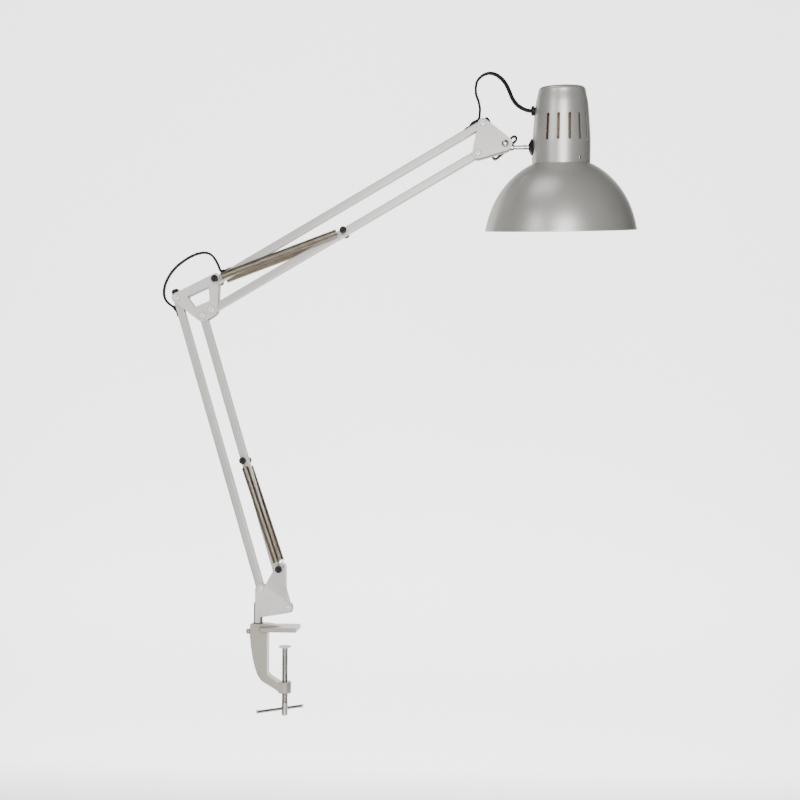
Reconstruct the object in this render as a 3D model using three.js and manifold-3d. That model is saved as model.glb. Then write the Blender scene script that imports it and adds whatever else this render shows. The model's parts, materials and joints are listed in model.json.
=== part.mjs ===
// A balanced-arm desk lamp with a table clamp. Millimetres, +Z up. The arms swing in the XZ plane, X points
// from the clamp towards the lamp head, and Y = 0 is the plane midway between the bracket plates. The origin
// lies on the clamp screw's axis, on the underside of the fixed jaw, where the lamp sits on a table top.
import * as THREE from 'three';
import { mergeVertices } from 'three/addons/utils/BufferGeometryUtils.js';
import Module from 'manifold-3d';

const wasm = await Module();
wasm.setup();

// ---------------------------------------------------------------- driving dimensions
const GAP = 0.3; // between pieces that touch
const RUNNING = 0.35; // radial clearance of a pin in its hole

const TUBE = 10; // square arm tube, outside
const TUBE_WALL = 1;
const TUBE_OVERHANG = 4.6; // tube end beyond its pivot
const TALL_PLUG = 8; // moulded plugs' height beyond the tube
const ROUND_PLUG = 5.6;
const FLAT_PLUG = 2.4;
const PLUG_STUB = 1.6;
const LOWER_ARM = 399; // pivot to pivot
const UPPER_ARM = 406;
const LOWER_LEAN = degrees(16.66); // from vertical, away from the head
const UPPER_RISE = degrees(29.97); // above horizontal
const BASE_LINK = 43; // between the two pivots of the base, and of the elbow's lower pair
const BASE_LINK_DROP = degrees(34.4);
const HEAD_LINK = 40; // between the two pivots of the head, and of the elbow's upper pair
const HEAD_LINK_RISE = degrees(80.7);
const ELBOW_REACH = [53.7, 23.1]; // from the rear lower pivot to the upper pivot of the elbow
const HEAD_BOLT_OFFSET = [28.8, -28.1]; // from the head's upper pivot

const PLATE = 1.2; // sheet thickness of every bracket
const PIVOT_RADIUS = 2;
const RIVET_HEAD_RADIUS = 4.5;
const RIVET_HEAD = 2;
const SPRING_PIN_RADIUS = 2;
const SPRING_PIN_LENGTH = 39;
const SPRING_PIN_HEAD_RADIUS = 4.6;
const SPRING_PIN_HEAD = 2.6;
const HEAD_BEVEL = 0.8; // on the heads of rivets and pins

const SPRING_OFFSET = SPRING_PIN_LENGTH / 2 - SPRING_PIN_HEAD - 2.9; // spring axis from the mid plane
const COIL_RADIUS = 5;
const WIRE = 1.3;
const COIL_START = 8.5; // free hook between a pin and its coils
const HOOK_SHANK = 31;

const FLEX_WIDTH = 5.3; // flat two-core flex
const FLEX_THICKNESS = 3.2;
const LEAD_SLOT = 16.4; // centre of a tube's flex slot from the nearest pivot
const SLOT_ACROSS = FLEX_WIDTH + 1.9;
const SLOT_LONG = 15;
const LIP_REACH = 2; // how far a grommet's lip reaches beyond its slot
const LIP_HEIGHT = 0.8;
const BASE_EXIT = 30; // centre of the mains slot above the rear base pivot

const SPINDLE_RADIUS = 6;
const SPINDLE_X = -35.2;
const SPINDLE_TOP = 36;
const SOCKET_DEPTH = 40;
const BASE_PIVOT = [-32, 53.6]; // rear pivot of the base bracket
const BASE_PIN = [-5.9, 80.4]; // root of the lower springs
const BASE_CORNER = 6.6;
const EAR_CORNER = 6;
const EAR_FLARE = 4.6; // each ear leans out by this much at the pin
const TONGUE_LEFT = -38.5;
const TONGUE_RIGHT = -31.4;
const TONGUE_BOTTOM = 9.6;

const ELBOW_CORNER = 8.3;
const KNUCKLE_RADIUS = 8;
const WING_TURN = degrees(43);
const WING_SPAN = 21.5;
const NUT_RADIUS = 7.5;

const CLAMP_TOP = 8.8; // top of the socket column above the jaw face
const JAW_THICKNESS = 5.4;
const JAW_WIDTH = 38;
const JAW_TIP = 17.5;
const JAW_INTO_COLUMN = 8;
const RIB_DEPTH = 16;
const LOCK_RADIUS = 2; // M4
const LOCK_HEIGHT = -2;
const COLUMN_LEFT = -44.8;
const COLUMN_RIGHT = -22;
const CASTING_DEPTH = 17;
const BOSS_RADIUS = 8.5;
const BOSS_TOP = -66;
const BOSS_BOTTOM = -80.5;
const SCREW_RADIUS = 4; // M8
const SCREW_BOTTOM = -109.3;
const PAD_TOP = -20.3;
const PAD_RADIUS = 8.2;
const PAD_HEIGHT = 1.8;
const PAD_EDGE = 0.5;
const BAR_RADIUS = 2;
const BAR_LENGTH = 65;
const BAR_HEAD_RADIUS = 2.5;
const BAR_HEAD = 1.6;
const BAR_SLID = -6.6; // where the bar rests along its hole
const BAR_HEIGHT = -100.4;
const BAR_TURN = degrees(34);

const STEM_RADIUS = 2.7;
const STEM_DROP = 4.067; // the stem's axis below the head bolt
const STEM_SET_OUT = 12.177; // from the head bolt to the stem's start
const SHADE_SET_OUT = 73.177; // from the head bolt to the shade's own axis
const SHADE_TILT = degrees(12.5); // about the stem
const NECK_RADIUS = 37.7;
const NECK_SHELL = 1;
const NECK_BOTTOM = -21.4; // heights in the shade are measured from the stem
const NECK_TAPER = 14;
const NECK_EASE = 0.4; // the wall leans in by this much where the taper starts
const NECK_MIDDLE = [33.9, 53.6];
const NECK_SHOULDER = [30.6, 70];
const NECK_CORNER = 6;
const NECK_TOP = 75.5;
const DOME_SHELL = 1;
const DOME_RIM = -107.8;
const DOME_CENTRE = -128;
const DOME_HALF_WIDTH = 100.6;
const DOME_HALF_HEIGHT = 114.9;
const COLLAR_HEIGHT = 11; // of the dome, up inside the neck
const SLOT_WIDTH = 3.9;
const SLOT_BOTTOM = 7.2;
const SLOT_TOP = 40.8;
const SLOT_PITCH = 22.5;
const GLAND_HEIGHT = 46;
const GLAND_RADIUS = 6.4;
const CUP_DEPTH = 4.6;
const CUP_RADIUS = 10.9;
const HOLDER_TOP = 52;

// ---------------------------------------------------------------- derived places, as [x, z] in the arm plane
const plateInner = TUBE / 2 + GAP;
const plateOuter = plateInner + PLATE;
const lowerDirection = [-Math.sin(LOWER_LEAN), Math.cos(LOWER_LEAN)];
const upperDirection = [Math.cos(UPPER_RISE), Math.sin(UPPER_RISE)];
const baseLink = [BASE_LINK * Math.cos(BASE_LINK_DROP), -BASE_LINK * Math.sin(BASE_LINK_DROP)];
const headLink = [HEAD_LINK * Math.cos(HEAD_LINK_RISE), HEAD_LINK * Math.sin(HEAD_LINK_RISE)];

const baseRear = BASE_PIVOT;
const baseFront = along(baseRear, baseLink, 1);
const elbowRear = along(baseRear, lowerDirection, LOWER_ARM);
const elbowFront = along(elbowRear, baseLink, 1);
const elbowTop = along(elbowRear, ELBOW_REACH, 1);
const elbowLow = along(elbowTop, headLink, -1);
const headTop = along(elbowTop, upperDirection, UPPER_ARM);
const headLow = along(headTop, headLink, -1);
const headBolt = along(headTop, HEAD_BOLT_OFFSET, 1);
const STEM_HEIGHT = headBolt[1] - STEM_DROP;
const STEM_START = headBolt[0] + STEM_SET_OUT;
const SHADE_X = headBolt[0] + SHADE_SET_OUT;
const lowerPin = along(baseFront, lowerDirection, LOWER_ARM / 2);
const upperPin = along(elbowLow, upperDirection, UPPER_ARM / 2);

// ---------------------------------------------------------------- helpers
function degrees(value) {
  return THREE.MathUtils.degToRad(value);
}

function along([x, z], [dx, dz], amount) {
  return [x + dx * amount, z + dz * amount];
}

function distance([ax, az], [bx, bz]) {
  return Math.hypot(bx - ax, bz - az);
}

function solid(geometry) {
  const bare = geometry.clone();
  bare.deleteAttribute('normal');
  bare.deleteAttribute('uv');
  const welded = mergeVertices(bare, 1e-4);
  return new wasm.Manifold(new wasm.Mesh({
    numProp: 3,
    vertProperties: new Float32Array(welded.attributes.position.array),
    triVerts: new Uint32Array(welded.index.array),
  }));
}

function geometryOf(body) {
  const mesh = body.getMesh();
  const geometry = new THREE.BufferGeometry();
  geometry.setAttribute('position', new THREE.BufferAttribute(new Float32Array(mesh.vertProperties), 3));
  geometry.setIndex(new THREE.BufferAttribute(new Uint32Array(mesh.triVerts), 1));
  geometry.computeVertexNormals();
  return geometry;
}

function join(first, ...others) {
  return geometryOf(others.reduce((body, other) => body.add(solid(other)), solid(first)));
}

function cut(first, ...tools) {
  return geometryOf(tools.reduce((body, tool) => body.subtract(solid(tool)), solid(first)));
}

function keep(first, second) {
  return geometryOf(solid(first).intersect(solid(second)));
}

function discPoints([x, z], radius, count = 12) {
  return Array.from({ length: count }, (_, i) => {
    const turn = (2 * Math.PI * i) / count;
    return new THREE.Vector2(x + radius * Math.cos(turn), z + radius * Math.sin(turn));
  });
}

// The taut outline round a set of discs, given as [centre, radius] pairs.
function outlineRound(discs, count = 16) {
  const points = discs.flatMap(([centre, radius]) => discPoints(centre, radius, count));
  points.sort((a, b) => a.x - b.x || a.y - b.y);
  const turn = (o, a, b) => (a.x - o.x) * (b.y - o.y) - (a.y - o.y) * (b.x - o.x);
  const chain = (ordered) => {
    const hull = [];
    for (const point of ordered) {
      while (hull.length > 1 && turn(hull.at(-2), hull.at(-1), point) <= 1e-9) hull.pop();
      hull.push(point);
    }
    return hull.slice(0, -1);
  };
  return [...chain(points), ...chain(points.reverse())];
}

// A flat sheet in the arm plane, from y = front to y = rear, with holes given as outlines.
function sheet(outline, front, rear, holes = []) {
  const shape = new THREE.Shape(outline);
  shape.holes = holes.map((hole) => new THREE.Path(hole));
  const geometry = new THREE.ExtrudeGeometry(shape, { depth: rear - front, bevelEnabled: false });
  return geometry.rotateX(Math.PI / 2).translate(0, rear, 0);
}

function polygon(points) {
  return points.map(([x, z]) => new THREE.Vector2(x, z));
}

function block(width, depth, height, x = 0, y = 0, z = 0) {
  return new THREE.BoxGeometry(width, depth, height).translate(x, y, z);
}

// A turned body about the Z axis from [radius, height] pairs.
function turned(profile, segments) {
  const points = profile.map(([radius, height]) => new THREE.Vector2(radius, height));
  return new THREE.LatheGeometry(points, segments).rotateX(Math.PI / 2);
}

function turnedAlongY(profile, segments) {
  return turned(profile, segments).rotateX(Math.PI / 2);
}

function turnedAlongX(profile, segments) {
  return turned(profile, segments).rotateY(Math.PI / 2);
}

// A cylinder with both ends closed, along Z, from one height to another.
function rod(radius, low, high, segments = 12) {
  return turned([[0, low], [radius, low], [radius, high], [0, high]], segments);
}

function rodAlongY(radius, front, rear, segments = 12) {
  return turnedAlongY([[0, -rear], [radius, -rear], [radius, -front], [0, -front]], segments);
}

function rodAlongX(radius, left, right, segments = 12) {
  return turnedAlongX([[0, left], [radius, left], [radius, right], [0, right]], segments);
}

// ---------------------------------------------------------------- materials
const finish = (color, roughness, metalness) => new THREE.MeshStandardMaterial({ color, roughness, metalness });
const satinSilver = finish(0xc9c9c6, 0.38, 0.75);
const pearlSilver = finish(0xdedcd8, 0.5, 0.35);
const castSilver = finish(0xa7a59b, 0.5, 0.5);
const brightSteel = finish(0xc8cac8, 0.2, 1);
const springSteel = finish(0x9c9282, 0.35, 0.9);
const blackPlastic = finish(0x1a1918, 0.5, 0);
const blackFlex = finish(0x151414, 0.55, 0);
const whitePlastic = finish(0xe9e8e4, 0.5, 0);
const holderBeige = finish(0xcfc6ae, 0.45, 0);
const opalGlass = finish(0xf6f4ee, 0.3, 0);

// ---------------------------------------------------------------- scene graph
const lamp = new THREE.Group();
lamp.name = 'lamp';

function add(parent, name, geometry, material, [x, y, z] = [0, 0, 0]) {
  const mesh = new THREE.Mesh(geometry, material);
  mesh.name = name;
  mesh.position.set(x, y, z);
  parent.add(mesh);
  return mesh;
}

function group(parent, [x, z], turnAboutY) {
  const made = new THREE.Group();
  made.position.set(x, 0, z);
  made.rotation.y = turnAboutY;
  parent.add(made);
  return made;
}

// ---------------------------------------------------------------- clamp
function clampBody() {
  const hook = [
    [COLUMN_LEFT, CLAMP_TOP], [COLUMN_LEFT, -6], [-43.4, -20], [-41.2, -34], [-38.4, -46], [-34.8, -56],
    [-30.8, -62.4], [-26, -66.4], [-18.6, -70.4], [-10, -75.6], [-4, BOSS_BOTTOM + 0.6], [0, BOSS_BOTTOM + 0.2],
    [0, BOSS_TOP - 2], [-6, BOSS_TOP - 1.2], [-14.6, -61.6], [-19.6, -58.6], [COLUMN_RIGHT, -55],
    [COLUMN_RIGHT, CLAMP_TOP],
  ];
  const hookSheet = sheet(polygon(hook), -CASTING_DEPTH / 2, CASTING_DEPTH / 2);
  const jawRoot = COLUMN_RIGHT - JAW_INTO_COLUMN;
  const jaw = block(JAW_TIP - jawRoot, JAW_WIDTH, JAW_THICKNESS, (JAW_TIP + jawRoot) / 2, 0, JAW_THICKNESS / 2);
  const rib = sheet(polygon([
    [COLUMN_RIGHT - 1, 1], [0, 1], [0, JAW_THICKNESS], [COLUMN_RIGHT - 1, CLAMP_TOP],
  ]), -RIB_DEPTH / 2, RIB_DEPTH / 2);
  const boss = rod(BOSS_RADIUS, BOSS_BOTTOM, BOSS_TOP, 32);
  const body = join(hookSheet, jaw, rib, boss);
  const socket = rod(SPINDLE_RADIUS + RUNNING, -SOCKET_DEPTH + 6, CLAMP_TOP + 1, 24).translate(SPINDLE_X, 0, 0);
  const screwHole = rod(SCREW_RADIUS + RUNNING, BOSS_BOTTOM - 1, BOSS_TOP + 1, 24);
  const lockHole = rodAlongX(LOCK_RADIUS + RUNNING, COLUMN_LEFT - 1, SPINDLE_X).translate(0, 0, LOCK_HEIGHT);
  return cut(body, socket, screwHole, lockHole);
}

const lockLength = SPINDLE_X - SPINDLE_RADIUS - 1.2 - COLUMN_LEFT;
const lockScrew = turnedAlongX([
  [0, -6], [2.8, -6], [3.5, -5], [3.5, -2], [2.4, -GAP], [LOCK_RADIUS, -GAP], [LOCK_RADIUS, lockLength],
  [0, lockLength],
], 12);
const clampScrew = cut(
  rod(SCREW_RADIUS, SCREW_BOTTOM, PAD_TOP - PAD_HEIGHT - GAP, 24),
  rodAlongX(BAR_RADIUS + RUNNING, -9, 9).rotateZ(BAR_TURN).translate(0, 0, BAR_HEIGHT),
);
const barEnd = BAR_LENGTH / 2;
const barShoulder = barEnd - 1.5 * BAR_HEAD;
const tommyBar = turnedAlongX([
  [0, -barEnd], [BAR_HEAD_RADIUS, -barEnd], [BAR_HEAD_RADIUS, BAR_HEAD - barEnd], [BAR_RADIUS, -barShoulder],
  [BAR_RADIUS, barShoulder], [BAR_HEAD_RADIUS, barEnd - BAR_HEAD], [BAR_HEAD_RADIUS, barEnd], [0, barEnd],
], 16).translate(BAR_SLID, 0, 0).rotateZ(BAR_TURN);

add(lamp, 'clamp_body', clampBody(), castSilver);
add(lamp, 'lock_screw', lockScrew, brightSteel, [COLUMN_LEFT, 0, LOCK_HEIGHT]);
add(lamp, 'clamp_screw', clampScrew, brightSteel);
add(lamp, 'clamp_pad', turned([
  [0, -PAD_HEIGHT], [PAD_RADIUS - PAD_EDGE, -PAD_HEIGHT], [PAD_RADIUS, PAD_EDGE - PAD_HEIGHT],
  [PAD_RADIUS, -PAD_EDGE], [PAD_RADIUS - PAD_EDGE, 0], [0, 0],
], 24), whitePlastic, [0, 0, PAD_TOP]);
add(lamp, 'tommy_bar', tommyBar, brightSteel, [0, 0, BAR_HEIGHT]);

// ---------------------------------------------------------------- pivots, pins and plugs
// A headed rivet or screw across a bracket, with its front head towards -Y.
function pivot(parent, name, [x, z], material, half = plateOuter) {
  const inner = half + GAP;
  const outer = inner + RIVET_HEAD;
  const profile = [
    [0, -outer], [RIVET_HEAD_RADIUS - HEAD_BEVEL, -outer], [RIVET_HEAD_RADIUS, HEAD_BEVEL - outer],
    [RIVET_HEAD_RADIUS, -inner], [PIVOT_RADIUS, -inner], [PIVOT_RADIUS, inner], [RIVET_HEAD_RADIUS, inner],
    [RIVET_HEAD_RADIUS, outer - HEAD_BEVEL], [RIVET_HEAD_RADIUS - HEAD_BEVEL, outer], [0, outer],
  ];
  add(parent, name, turnedAlongY(profile, 14), material, [x, 0, z]);
}

function springPin(parent, name, [x, z]) {
  const outer = SPRING_PIN_LENGTH / 2;
  const inner = outer - SPRING_PIN_HEAD;
  const profile = [
    [0, -outer], [SPRING_PIN_HEAD_RADIUS - HEAD_BEVEL, -outer], [SPRING_PIN_HEAD_RADIUS, HEAD_BEVEL - outer],
    [SPRING_PIN_HEAD_RADIUS, -inner], [SPRING_PIN_RADIUS, -inner], [SPRING_PIN_RADIUS, inner],
    [SPRING_PIN_HEAD_RADIUS, inner], [SPRING_PIN_HEAD_RADIUS, outer - HEAD_BEVEL],
    [SPRING_PIN_HEAD_RADIUS - HEAD_BEVEL, outer], [0, outer],
  ];
  add(parent, name, turnedAlongY(profile, 12), blackPlastic, [x, 0, z]);
}

// A square tube along its own Z, from one pivot to the other, with cross holes and side slots.
function tubeGeometry(length, holes, slots) {
  const total = length + 2 * TUBE_OVERHANG;
  const bore = TUBE - 2 * TUBE_WALL;
  const crossHoles = holes.map((height) => (
    rodAlongY(PIVOT_RADIUS + RUNNING, -TUBE, TUBE).translate(0, 0, height)));
  const sideSlots = slots.map(([x, y, height]) => block(
    x ? TUBE : SLOT_ACROSS, y ? TUBE : SLOT_ACROSS, SLOT_LONG, x * TUBE / 2, y * TUBE / 2, height));
  return cut(block(TUBE, TUBE, total, 0, 0, length / 2), block(bore, bore, total + 2, 0, 0, length / 2),
    ...crossHoles, ...sideSlots);
}

// The moulded plug that closes a tube's end, made at the end of the tube whose outward direction is +Z.
function endPlug(height) {
  const bore = 2 * (TUBE / 2 - TUBE_WALL - GAP);
  const stub = block(bore, bore, PLUG_STUB, 0, 0, GAP + 0.1 - PLUG_STUB / 2);
  const cap = turned([
    [0, GAP], [TUBE * 0.7, GAP], [TUBE * 0.64, height * 0.35], [TUBE * 0.46, height * 0.75],
    [TUBE * 0.24, height * 0.95], [0, height],
  ], 12);
  const square = block(TUBE - GAP, TUBE - GAP, height, 0, 0, height / 2 + GAP);
  return join(keep(cap, square), stub);
}

// The moulded grommet in a side slot, made with the tube's face at z = 0 and the tube's length along X.
function slotGrommet() {
  const lip = block(SLOT_LONG + LIP_REACH, SLOT_ACROSS + 1.4, LIP_HEIGHT, 0, 0, LIP_HEIGHT / 2 + GAP);
  const stubHeight = TUBE_WALL + 2 * GAP;
  const stub = block(SLOT_LONG - 2 * GAP, SLOT_ACROSS - 2 * GAP, stubHeight, 0, 0, (GAP - TUBE_WALL) / 2 + 0.1);
  const way = block(SLOT_LONG - 2.4, FLEX_WIDTH + 2 * GAP, TUBE, 0, 0, 0);
  return cut(join(lip, stub), way);
}

// ---------------------------------------------------------------- springs
function coilGeometry(length) {
  const inner = COIL_RADIUS - WIRE;
  return turned([[inner, 0], [COIL_RADIUS, 0], [COIL_RADIUS, length], [inner, length], [inner, 0]], 14);
}

// An eye round a pin and a straight shank along +Z that runs inside the coils.
function hookGeometry(shank) {
  const eye = SPRING_PIN_RADIUS + RUNNING;
  const ring = turnedAlongY([
    [eye, -WIRE / 2], [eye + WIRE, -WIRE / 2], [eye + WIRE, WIRE / 2], [eye, WIRE / 2], [eye, -WIRE / 2],
  ], 12);
  return join(ring, rod(WIRE / 2, eye + WIRE / 2, shank, 6));
}

// The coils of a spring that keeps its own hook on the first pin, joined to it by turned-in end wires.
function hookedCoil(length) {
  const bridge = block(2 * COIL_RADIUS - WIRE, WIRE, WIRE, 0, 0, COIL_START + WIRE / 2);
  return join(coilGeometry(length).translate(0, 0, COIL_START), hookGeometry(COIL_START + WIRE), bridge);
}

// The two springs of an arm, in front of and behind its tube. A sliding hook leaves the coils at each end
// that moves.
function springPair(prefix, from, to, slidesAtRoot) {
  const length = distance(from, to);
  const coils = length - 2 * COIL_START;
  const frame = group(lamp, from, Math.atan2(to[0] - from[0], to[1] - from[1]));
  for (const [side, y] of [['front', -SPRING_OFFSET], ['rear', SPRING_OFFSET]]) {
    const spring = `${prefix}_spring_${side}`;
    if (slidesAtRoot) {
      add(frame, spring, coilGeometry(coils), springSteel, [0, y, COIL_START]);
      add(frame, `${prefix}_root_hook_${side}`, hookGeometry(HOOK_SHANK), springSteel, [0, y, 0]);
    } else {
      add(frame, spring, hookedCoil(coils), springSteel, [0, y, 0]);
    }
    const tip = hookGeometry(HOOK_SHANK).rotateX(Math.PI);
    add(frame, `${prefix}_tip_hook_${side}`, tip, springSteel, [0, y, length]);
  }
}

// ---------------------------------------------------------------- base bracket
// One base plate. The ear that holds the springs' pin leans outwards from a bend above the two pivots.
function basePlate(side) {
  const across = [Math.sin(BASE_LINK_DROP), Math.cos(BASE_LINK_DROP)];
  const bend = [baseRear, baseFront].map((centre) => along(centre, across, BASE_CORNER));
  const flatOutline = outlineRound([
    [baseRear, BASE_CORNER], [baseFront, BASE_CORNER], [[TONGUE_LEFT + 1, 18.4], 1], [[-29, 18.4], 1],
  ]);
  const holes = [baseRear, baseFront].map((centre) => discPoints(centre, PIVOT_RADIUS + RUNNING));
  const [near, far] = side < 0 ? [-plateOuter, -plateInner] : [plateInner, plateOuter];
  const flat = sheet(flatOutline, near, far, holes);
  const tongue = sheet(polygon([
    [TONGUE_LEFT, TONGUE_BOTTOM], [TONGUE_RIGHT, TONGUE_BOTTOM], [TONGUE_RIGHT, 22], [TONGUE_LEFT, 22],
  ]), near, far);
  const foot = [along(bend[0], baseLink, 0.06), along(bend[1], baseLink, -0.16)];
  const earOutline = outlineRound([
    [BASE_PIN, EAR_CORNER], ...foot.map((point) => [along(point, across, -0.4), 0.05]),
  ]);
  const ear = sheet(earOutline, near, far, [discPoints(BASE_PIN, SPRING_PIN_RADIUS + RUNNING)]);
  const reach = (BASE_PIN[0] - bend[0][0]) * across[0] + (BASE_PIN[1] - bend[0][1]) * across[1];
  const position = ear.attributes.position;
  for (let i = 0; i < position.count; i += 1) {
    const out = (position.getX(i) - bend[0][0]) * across[0] + (position.getZ(i) - bend[0][1]) * across[1];
    position.setY(i, position.getY(i) + (side * EAR_FLARE * Math.max(0, out)) / reach);
  }
  return join(flat, tongue, ear);
}

// A headed stud, riveted through one ear, that carries the root of that side's lower spring.
function earStud(name, side) {
  const head = SPRING_PIN_LENGTH / 2;
  const rivet = plateInner + EAR_FLARE - 0.8;
  const profile = [
    [0, rivet - 0.9], [3, rivet - 0.9], [3, rivet], [SPRING_PIN_RADIUS, rivet],
    [SPRING_PIN_RADIUS, head - SPRING_PIN_HEAD], [SPRING_PIN_HEAD_RADIUS, head - SPRING_PIN_HEAD],
    [SPRING_PIN_HEAD_RADIUS, head - HEAD_BEVEL], [SPRING_PIN_HEAD_RADIUS - HEAD_BEVEL, head], [0, head],
  ];
  const geometry = turnedAlongY(profile, 12).rotateZ(side < 0 ? 0 : Math.PI);
  add(lamp, name, geometry, blackPlastic, [BASE_PIN[0], 0, BASE_PIN[1]]);
}

function spindle() {
  const shaft = rod(SPINDLE_RADIUS, -28, SPINDLE_TOP, 24);
  const depth = SPINDLE_RADIUS;
  const height = SPINDLE_TOP + GAP - TONGUE_BOTTOM;
  const middle = TONGUE_BOTTOM + height / 2;
  const cheek = (side) => block(3 * depth, depth, height, 0, side * (TUBE + depth) / 2, middle);
  return cut(shaft, cheek(-1), cheek(1));
}

add(lamp, 'spindle', spindle(), brightSteel, [SPINDLE_X, 0, 0]);
add(lamp, 'base_plate_front', basePlate(-1), pearlSilver);
add(lamp, 'base_plate_rear', basePlate(1), pearlSilver);
pivot(lamp, 'base_rear_screw', baseRear, brightSteel);
pivot(lamp, 'base_front_screw', baseFront, brightSteel);
earStud('base_stud_front', -1);
earStud('base_stud_rear', 1);

// ---------------------------------------------------------------- lower arm
const lowerRear = group(lamp, baseRear, -LOWER_LEAN);
const lowerFront = group(lamp, baseFront, -LOWER_LEAN);
const lowerSlot = LOWER_ARM - LEAD_SLOT;
const rearSlots = [[-1, 0, lowerSlot], [0, 1, BASE_EXIT]];
add(lowerRear, 'lower_rear_tube', tubeGeometry(LOWER_ARM, [0, LOWER_ARM], rearSlots), satinSilver);
add(lowerFront, 'lower_front_tube', tubeGeometry(LOWER_ARM, [0, LOWER_ARM / 2, LOWER_ARM], []), satinSilver);
add(lowerRear, 'lower_rear_plug', endPlug(TALL_PLUG), blackPlastic, [0, 0, LOWER_ARM + TUBE_OVERHANG]);
add(lowerFront, 'lower_front_plug', endPlug(FLAT_PLUG).rotateX(Math.PI), blackPlastic,
  [0, 0, -TUBE_OVERHANG]);
add(lowerRear, 'lower_lead_grommet', slotGrommet().rotateY(-Math.PI / 2), blackPlastic,
  [-TUBE / 2, 0, lowerSlot]);
springPin(lamp, 'lower_spring_pin', lowerPin);
springPair('lower', BASE_PIN, lowerPin, false);

// ---------------------------------------------------------------- elbow
const elbowOutline = outlineRound([
  [elbowRear, 6.2], [elbowFront, ELBOW_CORNER], [elbowLow, ELBOW_CORNER],
  [along(elbowTop, [-1.2, 4.4], 1), 4.6],
]);
const elbowWindow = outlineRound([
  [along(elbowRear, [17.4, 0.4], 1), 2], [along(elbowTop, [-12.4, -11.8], 1), 2],
  [along(elbowLow, [-4.6, 13.2], 1), 2], [along(elbowFront, [-9.8, 13.8], 1), 2],
]);
const elbowHoles = [elbowRear, elbowFront, elbowLow, elbowTop]
  .map((centre) => discPoints(centre, PIVOT_RADIUS + RUNNING));

const elbowOpenings = [elbowWindow, ...elbowHoles];
add(lamp, 'elbow_plate_front', sheet(elbowOutline, -plateOuter, -plateInner, elbowOpenings), pearlSilver);
add(lamp, 'elbow_plate_rear', sheet(elbowOutline, plateInner, plateOuter, elbowOpenings), pearlSilver);
pivot(lamp, 'elbow_rear_rivet', elbowRear, brightSteel);
pivot(lamp, 'elbow_front_rivet', elbowFront, brightSteel);
pivot(lamp, 'elbow_low_rivet', elbowLow, brightSteel);
springPin(lamp, 'elbow_spring_pin', elbowTop);

// ---------------------------------------------------------------- upper arm
const upperTurn = Math.PI / 2 - UPPER_RISE;
const upperTop = group(lamp, elbowTop, upperTurn);
const upperLow = group(lamp, elbowLow, upperTurn);
const upperSlots = [LEAD_SLOT, UPPER_ARM - LEAD_SLOT];
const topSlots = upperSlots.map((height) => [-1, 0, height]);
add(upperTop, 'upper_top_tube', tubeGeometry(UPPER_ARM, [0, UPPER_ARM], topSlots), satinSilver);
add(upperLow, 'upper_low_tube', tubeGeometry(UPPER_ARM, [0, UPPER_ARM / 2, UPPER_ARM], []), satinSilver);
add(upperTop, 'upper_top_plug', endPlug(ROUND_PLUG), blackPlastic, [0, 0, UPPER_ARM + TUBE_OVERHANG]);
add(upperLow, 'upper_low_plug', endPlug(FLAT_PLUG).rotateX(Math.PI), blackPlastic, [0, 0, -TUBE_OVERHANG]);
['elbow_lead_grommet', 'head_lead_grommet'].forEach((name, i) => {
  add(upperTop, name, slotGrommet().rotateY(-Math.PI / 2), blackPlastic, [-TUBE / 2, 0, upperSlots[i]]);
});
springPin(lamp, 'upper_spring_pin', upperPin);
springPair('upper', elbowTop, upperPin, true);

// ---------------------------------------------------------------- head joint
const headOutline = outlineRound([[headTop, 6.2], [headLow, 7.8], [headBolt, 9.4]]);
const headHoles = [headTop, headLow, headBolt].map((centre) => discPoints(centre, PIVOT_RADIUS + RUNNING));

// The eye on the head bolt, with a short barrel that takes the stem.
function knuckle() {
  const half = TUBE / 2;
  const eye = rodAlongY(KNUCKLE_RADIUS, -half, half, 24).translate(headBolt[0], 0, headBolt[1]);
  const barrel = rodAlongX(4, headBolt[0], STEM_START - GAP, 16).translate(0, 0, STEM_HEIGHT);
  const boltHole = rodAlongY(PIVOT_RADIUS + RUNNING, -TUBE, TUBE).translate(headBolt[0], 0, headBolt[1]);
  return cut(join(eye, barrel), boltHole);
}

// The bolt's domed head is in front, and its thread ends inside the wing nut behind.
function boltGeometry() {
  const inner = plateOuter + GAP;
  return turnedAlongY([
    [0, -22], [PIVOT_RADIUS, -22], [PIVOT_RADIUS, inner], [4.8, inner], [4.8, inner + 1.2], [4, inner + 2.4],
    [2.4, inner + 3.1], [0, inner + 3.3],
  ], 20);
}

function wingNut() {
  const start = plateOuter + GAP;
  const hub = rodAlongY(NUT_RADIUS, start, start + 11, 20);
  const wing = outlineRound([[[0, 0], 4.6], [[WING_SPAN - 4.4, 0], 4.4]]);
  const opening = outlineRound([[[NUT_RADIUS + 3.4, 0], 1.8], [[WING_SPAN - 4.6, 0], 2.2]]);
  const wings = [0, Math.PI].map((turn) => sheet(wing, start + 4, start + 12, [opening]).rotateY(turn));
  const bore = rodAlongY(PIVOT_RADIUS + RUNNING, 0, 40);
  return cut(join(hub, ...wings), bore).rotateY(-WING_TURN);
}

add(lamp, 'head_plate_front', sheet(headOutline, -plateOuter, -plateInner, headHoles), pearlSilver);
add(lamp, 'head_plate_rear', sheet(headOutline, plateInner, plateOuter, headHoles), pearlSilver);
pivot(lamp, 'head_top_rivet', headTop, brightSteel);
pivot(lamp, 'head_low_rivet', headLow, brightSteel);
add(lamp, 'head_bolt', boltGeometry(), brightSteel, [headBolt[0], 0, headBolt[1]]);
add(lamp, 'wing_nut', wingNut(), blackPlastic, [headBolt[0], 0, headBolt[1]]);
add(lamp, 'knuckle', knuckle(), brightSteel);

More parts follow.
